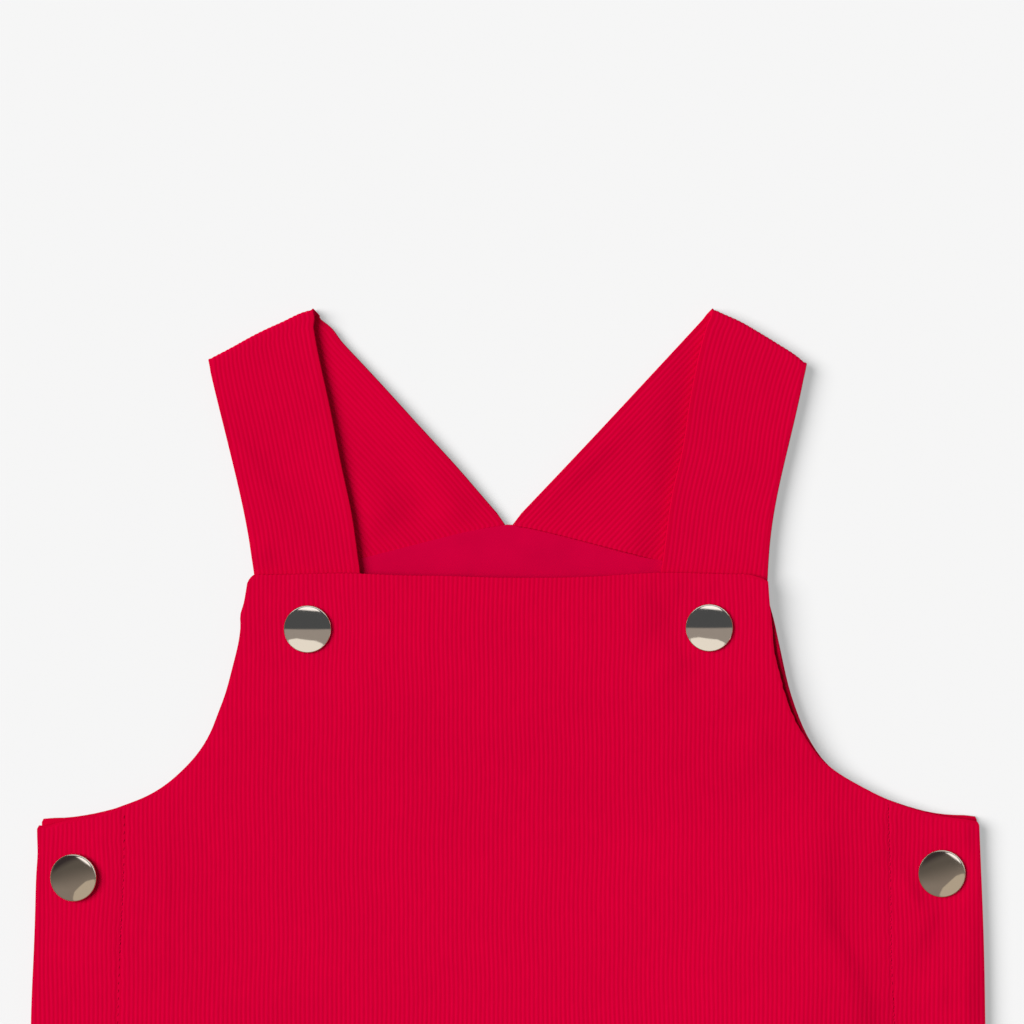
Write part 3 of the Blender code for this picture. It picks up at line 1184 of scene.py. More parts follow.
@dataclass(kw_only=True)
class FrontPanel(Panel):
    """The front of the dress, bib and skirt in one, over everything that it covers."""

    armholes: dict[Side, Sequence[Point]] = field(default_factory=lambda: {
        Side.LEFT: ((82.2, 163.9), (89.7, 117.6), (92.3, 94.6), (149.0, 85.9)),
        Side.RIGHT: ((82.4, 164.2), (86.3, 115.9), (92.8, 97.0), (149.0, 86.8)),
    })
    lifts: dict[Side, Bumps] = field(default_factory=lambda: {
        Side.LEFT: (
            (102.0, 5.0, 0.3), (122.5, 7.0, 0.5), (137.0, 6.5, 0.85),
            (142.5, 4.0, 0.2), (148.4, 1.8, 0.7),
        ),
        Side.RIGHT: (
            (110.5, 9.0, 0.65), (127.0, 28.0, 0.4), (133.0, 7.0, -0.35),
            (138.0, 11.0, 0.5), (147.0, 5.0, 0.7),
        ),
    })
    strays: dict[Side, Bumps] = field(default_factory=lambda: {
        Side.LEFT: (
            (153.3, 2.6, 0.6), (144.5, 6.5, -0.38), (122.0, 5.0, 0.3),
            (77.0, 5.0, -0.35), (31.0, 14.0, 0.3),
        ),
        Side.RIGHT: (
            (152.8, 2.6, 0.2), (148.3, 2.6, 0.2), (144.0, 15.0, -0.45), (141.5, 4.5, -0.15),
            (135.0, 2.0, 0.15), (114.0, 4.0, 0.35), (50.0, 36.0, 0.90),
        ),
    })
    top_y: float = 165.2  # its top edge dips a little between the straps
    corner_rows: int = 4
    armhole_rows: int = 72
    bulge_rows: int = 20
    form: FrontForm
    bib_corner: dict[Side, Point] = field(default_factory=lambda: {
        Side.LEFT: (79.9, 166.1),
        Side.RIGHT: (75.5, 166.2),
    })
    corner_gap: float = 0.3  # between the corner's last row and the armhole
    corner_round: float = 1.4  # 1 is a straight cut across the corner
    bib_bumps: Bumps = ((-50.0, 19.0, 1.1), (-20.0, 13.0, 0.5), (48.5, 19.0, 1.25))
    opening_rows: int = 26
    skirt_rows: int = 22
    opening_foot: float = 24.0  # the rows lie wider apart below this
    trough_depth: float = 0.10  # along the lines of stitches
    trough_width: float = 0.9
    cap_ring: Bumps = ((11.5, 2.8, 0.03),)  # the cloth swells round a cap
    cap_push: Bumps = ((9.0, 5.0, 0.75),)  # and its wales part
    pressed: float = 7.2  # a cap keeps the cloth flat within this radius
    crease_fade: float = 5.0  # and creases begin over this distance beyond it
    slope_fade: float = 18.0
    uneven: Point = (0.12, 0.05)  # heights of its broad and its close unevenness
    astray: Point = (0.22, 0.12)  # how far its wales wander, broadly and closely
    pull: float = 0.16  # how far the stitches pull them
    pull_width: float = 3.2
    pull_length: float = 7.0
    fray: Point = (0.14, 0.10)  # how far the right armhole's edge frays, closely and broadly
    fray_place: Bumps = ((128.0, 14.0, 1.0),)  # where that armhole is on the bias

    def edge(self, side: Side) -> Array:
        """Lay out one side edge, and let it stray and rise.

        Args:
            side: which edge.

        Returns:
            Its points, with X counted outward.
        """
        armhole = self.armholes[side]
        start = (self.bib_corner[side][0], self.bib_corner[side][1] - INSET)
        end = (armhole[0][0] - INSET, armhole[0][1] - self.corner_gap)
        shares = np.arange(self.corner_rows) / self.corner_rows
        corner = [
            (lerp(start[0], end[0], t), lerp(start[1], end[1], t**self.corner_round)) for t in shares
        ]
        underarm = armhole[3][1] - INSET - self.side_gap
        upper = np.linspace(underarm, self.opening_foot, self.opening_rows, endpoint=False)
        lower = np.linspace(self.opening_foot, SKIRT.corner_y + INSET, self.skirt_rows)
        x, y = self.cut_edge(side, corner, np.concatenate([upper, lower]))
        x = x + bumpy(y, self.strays[side])
        if side is Side.RIGHT:
            close, broad = self.fray
            x = x + (close * np.sin(y * 2.3) + broad * np.sin(y * 1.1)) * bumpy(y, self.fray_place)
        return np.stack([x, y + bumpy(x, self.lifts[side])], axis=1)

    def floor(self, x: Array, y: Array) -> Array:
        """Return the height of the panel's underside."""
        return self.form.floor(x, y)

    def bulge(self, x: Array) -> Array:
        """Return how the top edge rises over the straps."""
        return bumpy(x, self.bib_bumps)

    def relief(self, x: Array, y: Array) -> Array:
        """Return what stitches and caps press into the panel, and its slight unevenness.

        Args:
            x: places across.
            y: places along.

        Returns:
            What is added to the panel's height.
        """
        broad, close = self.uneven
        height = broad * np.sin(x / 17.0 + 1.3) * np.sin(y / 23.0 + 0.4)
        height = height + close * np.sin(x / 7.3 - y / 31.0 + 2.0) * np.sin(y / 11.0)
        height = height + creased(FRONT_CREASES, x, y)
        slopes = creased(FRONT_SLOPES, x, y)
        for line in STITCH_LINES:
            away = (x - line.x_at(y)) / self.trough_width
            height = height - self.trough_depth * np.exp(-away * away) * (y > line.foot_y)
        for bed in self.form.beds:
            away = np.hypot(x - bed.x, y - bed.y)
            height = height * smooth((away - self.pressed) / self.crease_fade)
            height = height + bumpy(away, self.cap_ring)
            slopes = slopes * smooth((away - self.pressed) / self.slope_fade)
        return height + slopes

    def skin(self, x: Array, y: Array) -> Array:
        """Return the height of the panel's outer face."""
        return self.surface(x, y) + INSET

    def wander(self, x: Array, y: Array) -> Array:
        """Return how far the wales stray sideways: a little everywhere, and more at stitches and caps.

        Args:
            x: places across.
            y: places along.

        Returns:
            What is added to the wales' X.
        """
        broad, close = self.astray
        stray = broad * np.sin(y / 13.0 + x / 29.0) + close * np.sin(y / 5.1 - x / 17.0)
        pull = self.pull * np.sin(y * 2 * math.pi / self.pull_length)
        for line in STITCH_LINES:
            away = (x - line.x_at(y)) / self.pull_width
            stray = stray + pull * np.exp(-away * away)
        for bed in self.form.beds:
            away = np.hypot(x - bed.x, y - bed.y)
            stray = stray + (x - bed.x) / (away + 4.0) * bumpy(away, self.cap_push)
        return stray

    def build(self, corduroy: Material) -> Object:
        """Make the panel."""
        return self.shell(Wales.UP).build("front_panel_corduroy", corduroy, self.floor)


@dataclass
class BackPanel(Panel):
    """The back of the dress, flat on the table with its wales down, from its neckline to its hem."""

    armholes: dict[Side, Sequence[Point]] = field(default_factory=lambda: {
        Side.LEFT: ((80.3, 160.8), (91.5, 117.2), (89.2, 92.6), (148.8, 88.1)),
        Side.RIGHT: ((80.3, 160.8), (92.3, 117.4), (88.8, 94.9), (148.3, 88.4)),
    })
    lifts: dict[Side, Bumps] = field(default_factory=lambda: {
        Side.LEFT: ((122.5, 7.0, 0.3), (146.5, 4.0, 0.45)),
        Side.RIGHT: ((110.5, 9.0, 0.65), (127.0, 28.0, 0.4), (133.0, 7.0, -0.35), (146.0, 5.0, 0.65)),
    })
    strays: dict[Side, Bumps] = field(default_factory=lambda: {
        Side.LEFT: (),
        Side.RIGHT: ((158.0, 7.0, 0.5), (148.0, 6.0, 0.25), (130.0, 8.0, -0.3)),
    })
    top_y: float = 181.4 - GAP / 2
    corner_rows: int = 1
    armhole_rows: int = 36
    bulge_rows: int = 16
    skirt_rows: int = 34
    neck_slope: float = 0.262
    neck_round: float = 6.0
    strap_reach: float = 52.0  # the neckline leaves the straps' line beyond this
    shift_most: float = 0.8  # its armholes lie a little to the right of the front's
    shift_fade: Point = (-80.0, 20.0)
    curl_height: float = 4.4  # of the right armhole's edge, off the table
    curl_width: float = 3.4
    curl_ends: Sequence[Point] = ((106.0, 8.0), (162.0, 10.0))  # and over what distance it fades there

    def neck(self, x: Array | float) -> Array | float:
        """Return the height of the neckline at x: a rounded peak between two straight slopes."""
        return self.top_y + GAP / 2 - self.neck_slope * (np.hypot(x, self.neck_round) - self.neck_round)

    def top(self, x: Array) -> Array:
        """Lay out the panel's top edge, which drops to the armholes beyond the straps.

        Args:
            x: places across.

        Returns:
            The edge's Y.
        """
        corner_x, corner_y = self.armholes[Side.LEFT][0]
        slack = smooth((np.abs(x) - self.strap_reach) / (corner_x - self.strap_reach))
        return lerp(self.neck(x), corner_y, slack) - GAP / 2

    def bulge(self, x: Array) -> Array:
        """Work out the neckline's own height over the first row's bend.

        Args:
            x: places across.

        Returns:
            The heights.
        """
        corner_x, corner_y = self.edges[Side.LEFT][0]
        bend = (np.abs(x) / corner_x) ** ROW_BEND
        return self.top(x) - INSET - lerp(self.top_y - INSET, corner_y, bend)

    def shift(self, y: Array) -> Array:
        """Return how far the panel lies to +X at y."""
        low, high = self.shift_fade
        return self.shift_most * smooth((y - low) / (high - low))

    def floor(self, x: Array, y: Array) -> Array:
        """Return how far the panel is off the table, which is only where its right armhole's edge curls.

        Args:
            x: places across.
            y: places along.

        Returns:
            The heights above the table.
        """
        outline = bezier(self.armholes[Side.RIGHT], np.linspace(0.0, 1.0, 60))
        edge_x = np.interp(y, outline[::-1, 1], outline[::-1, 0]) + self.shift_most
        (foot, foot_fade), (top, top_fade) = self.curl_ends
        beside = smooth((y - foot) / foot_fade) * smooth((top - y) / top_fade)
        return self.curl_height * smooth(1.0 - (edge_x - x) / self.curl_width) * beside

    def edge(self, side: Side) -> Array:
        """Lay out one side edge, and let it stray and rise.

        Args:
            side: which edge.

        Returns:
            Its points, with X counted outward.
        """
        armhole = self.armholes[side]
        corner = [(armhole[0][0] - INSET - self.side_gap, armhole[0][1] - INSET - GAP / 2)]
        ys = np.linspace(armhole[3][1] - INSET - self.side_gap, SKIRT.corner_y + INSET, self.skirt_rows)
        x, y = self.cut_edge(side, corner, ys)
        return np.stack([x + bumpy(y, self.strays[side]), y + bumpy(x, self.lifts[side])], axis=1)

    def build(self, corduroy: Material) -> Object:
        """Make the panel."""
        top = lambda x, y: self.floor(x, y) + LAYERS.corduroy  # noqa: E731
        return self.shell(Wales.DOWN).build("back_panel_corduroy", corduroy, top)


@dataclass
class PlainStrip:
    """A strip of cloth with straight sides, laid flat on the back panel.

    Attributes:
        drop: from the top edge to the foot.
        thick: thickness.
        cut: its wales, or None on plain cloth.
        row_spacing: distance between rows of points.
        spacing: distance between columns of points.
    """

    drop: float
    thick: float
    cut: WaleCut | None
    row_spacing: float
    spacing: float

    def sides(self, y: float) -> Point:
        """Return where the left and the right edge cross y."""
        raise NotImplementedError

    def top(self, x: Array) -> Array:
        """Return the top edge's y at x."""
        raise NotImplementedError

    def rows(self) -> list[Row]:
        """Make the rows.

        Returns:
            The rows, from the top to the foot.
        """
        inset = self.thick / 2
        count = int(self.drop / self.row_spacing)
        made = []
        for step in range(count + 1):
            down = lerp(inset, self.drop - inset, step / count)
            left, right = self.sides(float(self.top(np.array(0.0))) - down)
            columns, x = columns_between(left + inset, right - inset, self.spacing)
            y = self.top(x) - down
            normal = np.tile([0.0, 0.0, 1.0], (len(x), 1))
            made.append(Row(xyz(x, y, LAYERS.lining_floor + inset), normal, columns, x, y, self.cut))
        return made


@dataclass(kw_only=True)
class BackFacing(PlainStrip):
    """The smooth facing inside the back neckline."""

    back: BackPanel
    drop: float = 34.5
    thick: float = LAYERS.facing
    cut: WaleCut | None = None
    row_spacing: float = 1.6
    spacing: float = 1.6
    half_width: float = 62.0
    lap: float = 0.5  # over the seam with the straps

    def sides(self, y: float) -> Point:
        """Return where the left and the right edge cross y."""
        return -self.half_width, self.half_width

    def top(self, x: Array) -> Array:
        """Return the top edge's y at x."""
        return self.back.neck(x) + self.lap

    def build(self, cotton: Material) -> Object:
        """Make the facing."""
        return ClothShell(self.rows(), self.thick).build("back_facing_cotton", cotton)


@dataclass(kw_only=True)
class Underlap(PlainStrip):
    """The strip on the back's side edge that lies under the front's snapped edge."""

    side: Side
    drop: float = 85.6
    thick: float = LAYERS.corduroy
    cut: WaleCut | None = CUT
    row_spacing: float = 2.4
    spacing: float = CUT.spacing
    width: float = 27.0
    set_back: float = 0.4  # from the front's own edge

    def sides(self, y: float) -> Point:
        """Find where the left and the right edge cross y.

        Args:
            y: a place along.

        Returns:
            The X of both.
        """
        outer = float(SKIRT.half_width(y)) - self.set_back
        low, high = sorted((self.side.value * outer, self.side.value * (outer - self.width)))
        return low, high

    def top(self, x: Array) -> Array:
        """Return the top edge's y at x."""
        return np.full(np.shape(x), self.drop)

    def build(self, corduroy: Material) -> Object:
        """Make the strip."""
        return ClothShell(self.rows(), self.thick).build(f"underlap_{self.side.word}_corduroy", corduroy)


@dataclass
class Strap:
    """One doubled strap: its back half on the table, its shoulder fold, and its front half.

    Points are in plan. The inner edge is the one nearer to the other strap on the front half.
    """

    side: Side
    back: BackPanel
    fold_inner: Point
    fold_outer: Point
    bib_inner: Point
    bib_outer: Point
    end_inner: Point
    end_outer: Point
    bow: float  # how far the front half's outer edge curves in
    base_inner: float  # where its base begins on the neckline
    notch: float  # how far the back half's edge steps in under the fold
    slack: float  # and how far it curves in below
    fold_bumps: Bumps  # what the fold's line adds, by share of the width
    back_bumps: Bumps  # how the back half's edge strays in, by distance from the fold
    front_bumps: Bumps  # how the front half's inner edge strays to +X, by share of the way to the bib
    creases: Sequence[Crease]
    base_outer: float = 52.0
    bow_lowness: float = 1.6
    crown: float = 1.1  # the shoulder fold bulges by this at its middle
    fold_radius: float = 1.35  # of the middle layer
    settle: float = 24.0  # how far from the fold the front half comes down on the back half
    clearance: float = 0.1  # of the front half over the facing
    notch_reach: float = 22.0
    notch_step: float = 2.4  # how softly the notch begins
    crowding: float = 1.5  # how much closer the back half's rows lie near the fold
    back_rows: int = 40
    fold_rows: int = 14
    front_rows: int = 40

    def __post_init__(self) -> None:
        """Work out the fold's line, what lies outward of it, and where the middle layer turns."""
        self.inner = np.array(self.fold_inner)
        self.outer = np.array(self.fold_outer)
        along = unit(self.inner - self.outer)
        self.outward = np.array([-along[1], along[0]]) * -self.side.value
        self.reach = self.fold_radius + LAYERS.strap / 2

    def bulge(self, share: Array) -> Array:
        """Return the fold's bulge at each share of the strap's width."""
        rise = self.crown * np.sin(math.pi * share) + bumpy(share, self.fold_bumps)
        return self.outward * rise[:, None]

    def crest(self, share: Array) -> Array:
        """Return points of the fold's edge."""
        return lerp(self.inner, self.outer, share[:, None]) + self.bulge(share)

    def foot(self, share: Array) -> Array:
        """Return points of the base, on the neckline."""
        x = self.side.value * lerp(self.base_inner, self.base_outer, share)
        return np.stack([x, self.back.neck(x) + GAP / 2], axis=1)

    def bib(self, share: Array) -> Array:
        """Return points where the front half goes in under the bib."""
        return lerp(np.array(self.bib_inner), np.array(self.bib_outer), share[:, None])

    def way(self, share: Array, start: Callable[[Array], Array]) -> Array:
        """Return directions along the strap from start, each one millimetre outward."""
        line = self.crest(share) - start(share)
        return line / (line @ self.outward)[:, None]

    def back_points(self, share: Array, up: float) -> Array:
        """Return points of the back half.

        Args:
            share: shares of the strap's width, from its inner edge.
            up: how far up the back half they lie, from 0 at its base to 1 at the fold.

        Returns:
            The points in plan.
        """
        top = self.crest(share) - self.way(share, self.foot) * self.reach
        below = (1.0 - up) * distance(self.inner, self.foot(np.zeros(1))[0])
        inward = bumpy(below, ((0.0, self.notch_reach, self.notch),)) * smooth(below / self.notch_step)
        inward += self.slack * math.sin(math.pi * up) + bumpy(below, self.back_bumps)
        inset = unit(self.outer - self.inner) * inward
        return lerp(self.foot(share), top, up) + inset * ((1.0 - share) ** 2)[:, None]

    def front_points(self, share: Array, run: float) -> Array:
        """Return points of the front half.

        Args:
            share: shares of the strap's width, from its inner edge.
            run: their distance from the fold.

        Returns:
            The points in plan.
        """
        ends = np.array([0.0, 1.0])
        start = self.crest(ends) - self.way(ends, self.bib) * self.reach
        visible, hidden = distance(self.bib_outer, start[1]), distance(self.end_outer, self.bib_outer)
        down, under = min(run / visible, 1.0), max((run - visible) / hidden, 0.0)
        inner = lerp(lerp(start[0], np.array(self.bib_inner), down), np.array(self.end_inner), under)
        outer = lerp(lerp(start[1], np.array(self.bib_outer), down), np.array(self.end_outer), under)
        inner[0] += bumpy(down, self.front_bumps) * (1.0 - under)
        outer[0] -= self.side.value * self.bow * math.sin(math.pi * down**self.bow_lowness)
        fade = 1.0 - float(smooth(run / self.settle))
        return lerp(inner, outer, share[:, None]) + self.bulge(share) * fade

    def width(self, points: Callable[[Array], Array], start: Callable[[Array], Array]) -> float:
        """Return a row's width square to the strap's inner edge.

        Args:
            points: the row's points in plan, at shares of its width.
            start: what the strap runs from, the neckline or the bib.

        Returns:
            The width.
        """
        ends = points(np.array([0.0, 1.0]))
        line = unit(self.crest(np.zeros(1)) - start(np.zeros(1)))[0]
        span = ends[1] - ends[0]
        return float(abs(span[0] * line[1] - span[1] * line[0]))

    def row(
        self,
        points: Callable[[Array], Array],
        width: float,
        height: float,
        look: Point,
        start: Callable[[Array], Array],
        run: float,
    ) -> Row:
        """Make one row across the strap.

        Args:
            points: the row's points in plan, at shares of its width.
            width: the row's width square to the strap's edge.
            height: height of the middle layer.
            look: how far outward and how far up the outer face looks.
            start: what the strap runs from, the neckline or the bib.
            run: the row's place along the flat strap.

        Returns:
            The row.
        """
        sign, inset = self.side.value, LAYERS.strap / 2
        low, high = sorted((sign * inset, sign * (width - inset)))
        columns, across = columns_between(low, high, CUT.spacing)
        share = np.abs(across) / width
        plan, way = points(share), self.way(share, start)
        rise = creased(self.creases, plan[:, 0], plan[:, 1]) * abs(look[1])
        middle = np.column_stack([plan, height + rise])
        normal = np.column_stack([way * look[0], np.full(len(share), look[1])])
        return Row(middle, normal, columns, across, np.full(len(share), run))

    def rows(self) -> list[Row]:
        """Make the rows.

        Returns:
            The rows, from the base over the fold to the end under the bib.
        """
        half, radius = LAYERS.strap / 2, self.fold_radius
        made = []
        middle = np.array([0.5])
        length = distance(self.crest(middle), self.foot(middle))
        for step in range(self.back_rows):
            up = lerp(half / length, 1.0, 1.0 - (1.0 - step / self.back_rows) ** self.crowding)
            points = lambda share, up=up: self.back_points(share, up)  # noqa: E731
            back_width = self.width(points, self.foot)
            made.append(self.row(points, back_width, half, (0.0, -1.0), self.foot, up * length))
        front_width = self.width(lambda share: self.front_points(share, 0.0), self.bib)
        for step in range(self.fold_rows + 1):
            turn = -math.pi / 2 + math.pi * step / self.fold_rows
            start = self.foot if turn < 0.0 else self.bib
            across = math.cos(turn) ** FOLD_SQUARENESS
            up = math.copysign(abs(math.sin(turn)) ** FOLD_SQUARENESS, turn)
            beyond = radius * across - self.reach
            points = lambda share, start=start, beyond=beyond: (  # noqa: E731
                self.crest(share) + self.way(share, start) * beyond
            )
            width = lerp(back_width, front_width, step / self.fold_rows)
            run = length + (turn + math.pi / 2) * radius
            made.append(self.row(points, width, half + radius * (1.0 + up), (across, up), start, run))
        low = LAYERS.facing_top + self.clearance + half
        end_run = distance(self.bib_outer, self.outer) - self.reach - half
        end_run += distance(self.end_outer, self.bib_outer)
        for step in range(1, self.front_rows + 1):
            run = end_run * step / self.front_rows
            points = lambda share, run=run: self.front_points(share, run)  # noqa: E731
            height = lerp(half + 2 * radius, low, float(smooth(run / self.settle)))
            width = self.width(points, self.bib)
            run += length + math.pi * radius
            made.append(self.row(points, width, height, (0.0, 1.0), self.bib, run))
        return made

    def build(self, corduroy: Material) -> Object:
        """Make the strap."""
        shell = ClothShell(self.rows(), LAYERS.strap, both=True, edge_steps=6)
        return shell.build(f"strap_{self.side.word}_corduroy", corduroy)


@dataclass
class Stitching:
    """A row of lockstitches: short spindles of thread that dip into the pile at both ends."""

    name: str
    thread: float = 0.42  # thickness
    length: float = 1.75
    sides: int = 6
    stations: int = 7
    rise: float = 0.14  # how far the middle of a stitch stands over its ends
    blunt: float = 0.02  # what is left of a stitch's section at its very ends

    def build(self, places: Array, ways: Array, material: Material) -> Object:
        """Make the stitches as one object.

        Args:
            places: the stitches' middles.
            ways: their directions, one unit long.
            material: the thread.

        Returns:
            The object.
        """
        points: list[Array] = []
        faces: list[tuple[int, ...]] = []
        turns = turns_round(self.sides)
        share = 2.0 * np.arange(self.stations) / (self.stations - 1) - 1.0
        radius = self.thread / 2 * np.sqrt(np.maximum(1.0 - share**4, self.blunt))
        for place, way in zip(places, ways):
            across = unit(np.cross(way, (0.0, 0.0, 1.0)))
            lift = np.cross(across, way)
            ring = np.outer(np.cos(turns), across) + np.outer(np.sin(turns), lift)
            centre = place + np.outer(share * self.length / 2, way)
            centre = centre + np.outer(self.rise * (1.0 - 2.0 * share**2), lift)
            base = len(points) * self.sides
            points += list(centre[:, None] + ring * radius[:, None, None])
            for low in range(base, base + (self.stations - 1) * self.sides, self.sides):
                for side in range(self.sides):
                    n = (side + 1) % self.sides
                    faces.append((low + side, low + side + self.sides, low + n + self.sides, low + n))
            end = base + (self.stations - 1) * self.sides
            faces.append(tuple(range(base, base + self.sides)))
            faces.append(tuple(range(end, end + self.sides))[::-1])
        return add_piece(self.name, np.concatenate(points), faces, material)


@dataclass
class SeamWork:
    """All stitching that shows: beside the openings and round the hem, front and back."""

    front: FrontPanel
    thread: Material
    # the dark thread laid in the needle holes as painted shade
    shade: Material
    pitch: float = 2.5
    slant: float = 0.18  # of a stitch beside an opening
    sink: float = 0.18  # how far the thread lies in the pile
    hole_sink: float = 0.30
    hole_width: float = 0.64
    hole_length: float = 1.0
    top_room: float = 1.0  # from a line's top to its last stitch
    hem_room: float = 1.5  # from the side edges to the hem's first stitch
    hem_lift: float = 22.0
    hem_sink: float = 0.2
    back_hem_level: float = 0.25  # the dress lies on its back's pile

    def side_line(self, line: StitchLine) -> Object:
        """Stitch down one side opening.

        Args:
            line: the line that the stitches follow.

        Returns:
            The stitches.
        """
        y = np.arange(line.foot_y, line.top_y - self.top_room, self.pitch)
        x = line.x_at(y)
        ways = unit(xyz(np.gradient(x, y) + self.slant, 1.0, 0.0))
        places = xyz(x, y, self.front.skin(x, y) - self.sink)
        return Stitching(f"stitching_side_{line.side.word}").build(places, ways, self.thread)

    def needle_hole_shade(self, line: StitchLine) -> Object:
        """Lay dark spindles between the stitches of one side opening: painted shade in its needle holes,
        where the pile parts.

        Args:
            line: the line that the holes follow.

        Returns:
            The painted shade in the holes.
        """
        y = np.arange(line.foot_y, line.top_y - self.top_room, self.pitch) + self.pitch / 2
        x = line.x_at(y)
        name = f"needle_hole_shade_{line.side.word}"
        holes = Stitching(name, thread=self.hole_width, length=self.hole_length, rise=0.0)
        places = xyz(x, y, self.front.skin(x, y) - self.hole_sink)
        return holes.build(places, np.tile([0.0, 1.0, 0.0], (len(y), 1)), self.shade)

    def hem(self, name: str, level: Height) -> Object:
        """Stitch round the hem on one face of the dress.

        Args:
            name: the stitching's name.
            level: height of the stitches at x and y.

        Returns:
            The stitches.
        """
        reach = float(SKIRT.half_width(SKIRT.corner_y + self.hem_lift)) - self.hem_room
        x = np.arange(-reach, reach, self.pitch)
        y = SKIRT.foot + self.hem_lift + SKIRT.hem_rise * (np.abs(x) / reach) ** ROW_BEND
        ways = unit(xyz(1.0, np.gradient(y, x), 0.0))
        return Stitching(name).build(xyz(x, y, level(x, y)), ways, self.thread)

    def on_front(self) -> list[Object]:
        """Stitch all that lies on the front.

        Returns:
            The stitches, and the painted shade in the holes between them.
        """
        made = [self.side_line(line) for line in STITCH_LINES]
        made += [self.needle_hole_shade(line) for line in STITCH_LINES]
        return made + [self.hem("stitching_hem_front", lambda x, y: self.front.skin(x, y) - self.hem_sink)]

    def on_back(self) -> Object:
        """Stitch the back's hem."""
        return self.hem("stitching_hem_back", lambda x, y: np.full(np.shape(x), self.back_hem_level))


@dataclass
class SnapCap:
    """A turned snap cap: a low dome with a rolled rim, on its bed of cloth. Its face is bare."""

    node: str
    lean: float = 0.0  # towards -X with the cloth under it, in degrees
    segments: int = 112
    refine: int = 4  # rings between two points of the profile
    profile: Sequence[Point] = (
        (6.90, 0.00), (7.35, 0.08), (7.50, 0.22), (7.47, 0.40), (7.36, 0.54), (7.16, 0.61),
        (6.95, 0.64), (6.30, 0.76), (5.30, 0.92), (3.80, 1.10), (1.90, 1.22), (0.0, 1.26),
    )

    def rings(self) -> Array:
        """Draw a smooth line through the profile.

        Returns:
            The radius and height of each ring.
        """
        points = np.array(self.profile)
        mirrored = points[-2] * np.array([-1.0, 1.0])
        padded = np.vstack([2 * points[0] - points[1], points, mirrored])
        made = [points[0]]
        for a, b, c, d in zip(padded, padded[1:], padded[2:], padded[3:]):
            for step in range(1, self.refine + 1):
                t = step / self.refine
                bend = (2 * a - 5 * b + 4 * c - d) * t**2 + (3 * b - a - 3 * c + d) * t**3
                made.append(0.5 * (2 * b + (c - a) * t + bend))
        return np.array(made)

    def build(self, metal: Material) -> Object:
        """Make the cap where its node is.

        Args:
            metal: its finish.

        Returns:
            The cap.
        """
        low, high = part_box(self.node)
        rings, count = self.rings()[:-1], self.segments
        turns = turns_round(count)
        circle = xyz(np.cos(turns), np.sin(turns), 0.0)
        points = [circle * radius + np.array([0.0, 0.0, height]) for radius, height in rings]
        points.append(np.array([[0.0, 0.0, 0.0], [0.0, 0.0, self.profile[-1][1]]]))
        under, crown, last = len(rings) * count, len(rings) * count + 1, (len(rings) - 1) * count
        faces: list[tuple[int, ...]] = []
        for base in range(0, last, count):
            for s in range(count):
                n = (s + 1) % count
                faces.append((base + s, base + n, base + n + count, base + s + count))
        for s in range(count):
            n = (s + 1) % count
            faces += [(under, n, s), (crown, last + s, last + n)]
        piece = add_piece(f"{self.node}_plated", np.vstack(points), faces, metal)
        piece.data.transform(Matrix.Rotation(-math.radians(self.lean), 4, "Y"))
        lowest = min(vertex.co.z for vertex in piece.data.vertices)
        widest = [vertex.co.x for vertex in piece.data.vertices]
        middle = (low + high) / 2
        aside = (max(widest) + min(widest)) / 2
        piece.data.transform(Matrix.Translation((middle.x - aside, middle.y, low.z - lowest)))
        return piece


# ---- Studio ----


@dataclass(frozen=True)
class Band:
    """A part of a reflector card, beyond a line or a bowed line on it.

    Attributes:
        toward: direction of the band from the card's middle, in degrees from +X, anticlockwise.
        start: distance of the line from the middle.
        soft: how softly the band begins.
        colour: its colour.
        strength: how bright it is.
        bow: how far the line bows outward, per square millimetre along it.
    """

    toward: float
    start: float
    soft: float
    colour: str
    strength: float = 1.0
    bow: float = 0.0


